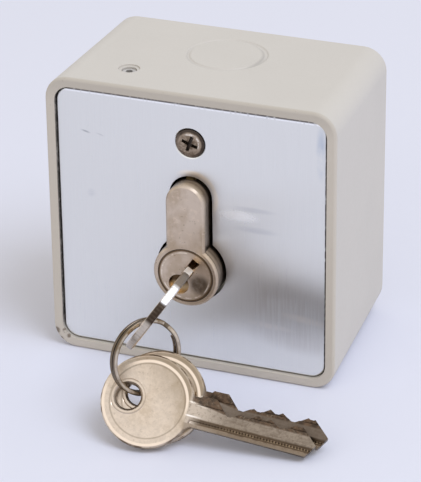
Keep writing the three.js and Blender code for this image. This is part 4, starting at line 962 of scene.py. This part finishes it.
def baked_from(tree, values, name, place):
    """Evaluates a tree on an empty mesh and keeps the result, put in its place, as a piece."""
    piece = bpy.data.objects.new(name, bpy.data.meshes.new(name))
    bpy.context.collection.objects.link(piece)
    modifier = piece.modifiers.new("Tree", "NODES")
    modifier.node_group = tree
    for item in tree.interface.items_tree:
        if item.in_out == "INPUT":
            modifier[item.identifier] = values[item.name]
    data = evaluated(piece)
    piece.modifiers.clear()
    piece.data = data
    data.transform(place)
    mesh = bmesh.new()
    mesh.from_mesh(data)
    bmesh.ops.remove_doubles(mesh, verts=mesh.verts, dist=WIRE_MERGED)
    bmesh.ops.recalc_face_normals(mesh, faces=mesh.faces)
    mesh.to_mesh(data)
    mesh.free()
    shade(data, WIRE_ANGLE)
    return piece


# Rounding of the screws' edges, in metres
SCREW_EDGE, GRUB_EDGE = 0.00012, 0.00015
# Share of the rear spare key's blade that still has bare flats
REAR_KEY_CLEAN = 0.35


class KEYSWITCH_OT_housing(bpy.types.Operator):
    """Dress the moulded box"""

    bl_idname = "keyswitch.housing"
    bl_label = "Housing"

    def execute(self, context):
        settings = look("key_switch_housing")
        dressed_copy("housing", settings.edge, moulded_finish(), "housing_moulding")
        return {"FINISHED"}


class KEYSWITCH_OT_plate(bpy.types.Operator):
    """Dress the brushed front plate and its seal"""

    bl_idname = "keyswitch.plate"
    bl_label = "Front plate"

    def execute(self, context):
        settings = look("key_switch_plate")
        dressed_copy("front_plate", settings.edge, brushed_finish(), "brushed_plate")
        recoloured(["plate_seal"], plain_moulding("seal_rubber", (0.012, 0.012, 0.012), 0.7))
        return {"FINISHED"}


class KEYSWITCH_OT_screws(bpy.types.Operator):
    """Dress the plate's screw and the small screw in the top"""

    bl_idname = "keyswitch.screws"
    bl_label = "Screws"

    def execute(self, context):
        dressed_copy("plate_screw", SCREW_EDGE, screw_finish(), "dark_steel")
        grub = plain_metal("grub_screw_steel", (0.80, 0.78, 0.75), (0.55, 0.53, 0.50), 0.45)
        dressed_copy("top_grub_screw", GRUB_EDGE, grub, "dark_steel")
        return {"FINISHED"}


class KEYSWITCH_OT_lock(bpy.types.Operator):
    """Dress the half cylinder and its plug"""

    bl_idname = "keyswitch.lock"
    bl_label = "Lock"

    def execute(self, context):
        settings = look("key_switch_lock")
        body = nickel_finish("cylinder_nickel", False)
        plug = nickel_finish("plug_nickel", True)
        dressed_copy("cylinder_body", settings.edge, body, "satin_nickel")
        dressed_copy("plug", settings.edge, plug, "satin_nickel")
        return {"FINISHED"}


class KEYSWITCH_OT_keys(bpy.types.Operator):
    """Dress the key in the lock and the two spare keys"""

    bl_idname = "keyswitch.keys"
    bl_label = "Keys"

    def execute(self, context):
        settings = look("key_switch_keys")
        for node in ("key_1", "key_2", "key_3"):
            edge_reflections = FIRST_KEY_EDGE_REFLECTIONS if node == "key_1" else None
            clean = REAR_KEY_CLEAN if node == "key_3" else 1.0
            material = key_finish(node + "_metal", *key_frame(node), edge_reflections, clean)
            dressed_copy(node, settings.edge, material, "key_metal")
        return {"FINISHED"}


class KEYSWITCH_OT_ring(bpy.types.Operator):
    """Wind the split ring through the three keys"""

    bl_idname = "keyswitch.ring"
    bl_label = "Split ring"

    def execute(self, context):
        sizes = look("key_switch_ring")
        low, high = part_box("key_ring")
        middle = (low + high) / 2
        wire = (sizes.wire_width, sizes.wire_height)
        values = (sizes.radius, sizes.pitch, *wire, *RING_CLIMB, sizes.steps)
        values = dict(zip(RING_INPUTS, values))
        # the wound ring lies flat, and its axis is turned level before it gets its place
        turn = RING_TURN @ Matrix(((0, 1, 0), (0, 0, 1), (1, 0, 0)))
        place = Matrix.Translation(middle) @ turn.to_4x4()
        metal = ring_finish(middle, turn @ Vector((0, 0, 1)), sizes.radius)
        piece = baked_from(ring_tree(metal), values, "key_ring_wound", place)
        settle(piece, "ring", "key_metal", "key_ring")
        return {"FINISHED"}


class KEYSWITCH_OT_inside(bpy.types.Operator):
    """Finish what lies behind the plate"""

    bl_idname = "keyswitch.inside"
    bl_label = "Inside"

    def execute(self, context):
        steel = plain_metal("bright_steel", (0.55, 0.56, 0.57), (0.38, 0.38, 0.39))
        brass = plain_metal("turned_brass", (0.68, 0.46, 0.17), (0.48, 0.30, 0.10))
        tinned = plain_metal("tinned_brass", (0.62, 0.55, 0.38), (0.44, 0.37, 0.24))
        dark = plain_metal("dark_steel", (0.22, 0.21, 0.20), (0.12, 0.11, 0.10))
        recoloured(called("switch_screw", "carrier_screw", "pin_spring"), steel)
        recoloured(called("switch_lever", "cam", "cylinder_screw"), steel)
        recoloured(called("key_pin", "driver_pin", "chamber_plug"), brass)
        recoloured(called("switch_terminal"), tinned)
        recoloured(["plug_clip"], dark)
        recoloured(["switch_carrier"], plain_moulding("carrier_moulding", (0.09, 0.10, 0.11)))
        black = plain_moulding("case_plastic", (0.014, 0.015, 0.016), 0.4)
        recoloured(called("switch_case"), black)
        red = plain_moulding("button_plastic", (0.36, 0.05, 0.03), 0.3)
        recoloured(called("switch_button"), red)
        return {"FINISHED"}


# Stage: camera, lamps, floor and room

# The camera of the photograph, as fitted to the outlines of the lock and the box
CAMERA_PLACE = Vector((0.21796, -0.61366, 0.31235))
CAMERA_YAW, CAMERA_PITCH, CAMERA_ROLL = (math.radians(a) for a in (20.50, 27.29, -0.71))
FOCAL_PIXELS = 2786.7
LONG_SIDE = 482
SENSOR = 36.0

# Each lamp's place, the side of its square in metres, and its colour; both face LAMP_AIM
LAMP_AIM = Vector((0, -0.05, 0))
LAMPS = {
    "key": (Vector((1.0, -0.45, 1.7)), 1.1, (0.78, 0.85, 1.0)),
    "fill": (Vector((-0.5, -1.3, 0.7)), 0.8, (1.0, 0.92, 0.84)),
}
# The room's even light, and what the camera and the metal see of it
ROOM_COLOUR, SEEN_COLOUR, SEEN_STRENGTH = (1.0, 0.965, 0.89, 1.0), (0.92, 0.92, 0.96, 1.0), 1.0
FLOOR_SIDE = 6.0


def set_camera():
    data = bpy.data.cameras.new("photo_camera")
    data.sensor_width = SENSOR
    data.lens = FOCAL_PIXELS / LONG_SIDE * SENSOR
    data.clip_start = 0.01
    data.clip_end = 20
    camera = bpy.data.objects.new("photo_camera", data)
    bpy.context.scene.collection.objects.link(camera)
    yaw, pitch, roll = CAMERA_YAW, CAMERA_PITCH, CAMERA_ROLL
    level = Vector((-math.sin(yaw), math.cos(yaw), 0))
    ahead = level * math.cos(pitch) - Vector((0, 0, math.sin(pitch)))
    right = Vector((math.cos(yaw), math.sin(yaw), 0))
    up = right.cross(ahead)
    turned_right = right * math.cos(roll) + up * math.sin(roll)
    turned_up = up * math.cos(roll) - right * math.sin(roll)
    basis = Matrix((turned_right, turned_up, -ahead)).transposed().to_4x4()
    camera.matrix_world = Matrix.Translation(CAMERA_PLACE) @ basis
    bpy.context.scene.camera = camera


def soft_lamp(name, place, side, power, colour):
    data = bpy.data.lights.new(name, "AREA")
    data.shape = "RECTANGLE"
    data.size = data.size_y = side
    data.energy = power
    data.color = colour
    lamp = bpy.data.objects.new(name, data)
    bpy.context.scene.collection.objects.link(lamp)
    lamp.location = place
    lamp.rotation_euler = (LAMP_AIM - place).to_track_quat("-Z", "Y").to_euler()


def set_room(settings):
    """Even light on the object, and a pale room that the camera and the metal see."""
    world = bpy.data.worlds.new("room")
    world.use_nodes = True
    room = Tree(world.node_tree)
    lit = room.node("ShaderNodeBackground", None, {0: ROOM_COLOUR, 1: settings.room})
    seen = room.node("ShaderNodeBackground", None, {0: SEEN_COLOUR, 1: SEEN_STRENGTH})
    rays = ("Is Camera Ray", "Is Glossy Ray", "Is Transmission Ray")
    camera, glossy, through = (room.node("ShaderNodeLightPath", output=ray) for ray in rays)
    shares = {0: camera.most(glossy).most(through), 1: lit, 2: seen}
    room.close("ShaderNodeOutputWorld", room.node("ShaderNodeMixShader", None, shares).output)
    bpy.context.scene.world = world


def set_floor(settings):
    bpy.ops.mesh.primitive_plane_add(size=FLOOR_SIDE, location=(0, 0, BOX_LOW.z))
    floor = bpy.context.object
    floor.name = "floor"
    finish = Finish("floor_paper")
    finish.done(tuple(settings.floor), 0.9, specular_ior_level=0.0)
    floor.data.materials.append(finish.material)


class KEYSWITCH_OT_stage(bpy.types.Operator):
    """Set up the floor, the lamps, the room and the camera"""

    bl_idname = "keyswitch.stage"
    bl_label = "Stage"

    def execute(self, context):
        settings = look("key_switch_stage")
        context.scene.view_settings.view_transform = "Standard"
        set_camera()
        set_floor(settings)
        for name, (place, side, colour) in LAMPS.items():
            soft_lamp(name + "_lamp", place, side, getattr(settings, name + "_power"), colour)
        set_room(settings)
        return {"FINISHED"}


class KEYSWITCH_PT_panel(bpy.types.Panel):
    bl_label = "Key switch"
    bl_idname = "KEYSWITCH_PT_panel"
    bl_space_type = "VIEW_3D"
    bl_region_type = "UI"
    bl_category = "Key switch"

    def draw(self, context):
        for operator in OPERATORS:
            self.layout.operator(operator.bl_idname)


GROUPS = {
    "key_switch_housing": HousingLook,
    "key_switch_plate": PlateLook,
    "key_switch_lock": LockLook,
    "key_switch_keys": KeyLook,
    "key_switch_ring": RingSizes,
    "key_switch_stage": StageLook,
}
OPERATORS = (
    KEYSWITCH_OT_housing,
    KEYSWITCH_OT_plate,
    KEYSWITCH_OT_screws,
    KEYSWITCH_OT_lock,
    KEYSWITCH_OT_keys,
    KEYSWITCH_OT_ring,
    KEYSWITCH_OT_inside,
    KEYSWITCH_OT_stage,
)


def register():
    for group in (*GROUPS.values(), *OPERATORS, KEYSWITCH_PT_panel):
        bpy.utils.register_class(group)
    for name, group in GROUPS.items():
        setattr(bpy.types.Scene, name, PointerProperty(type=group))


def unregister():
    for name in GROUPS:
        delattr(bpy.types.Scene, name)
    for group in reversed((*GROUPS.values(), *OPERATORS, KEYSWITCH_PT_panel)):
        bpy.utils.unregister_class(group)


def main():
    register()
    for operator in OPERATORS:
        area, name = operator.bl_idname.split(".")
        getattr(getattr(bpy.ops, area), name)()


if __name__ == "__main__":
    main()
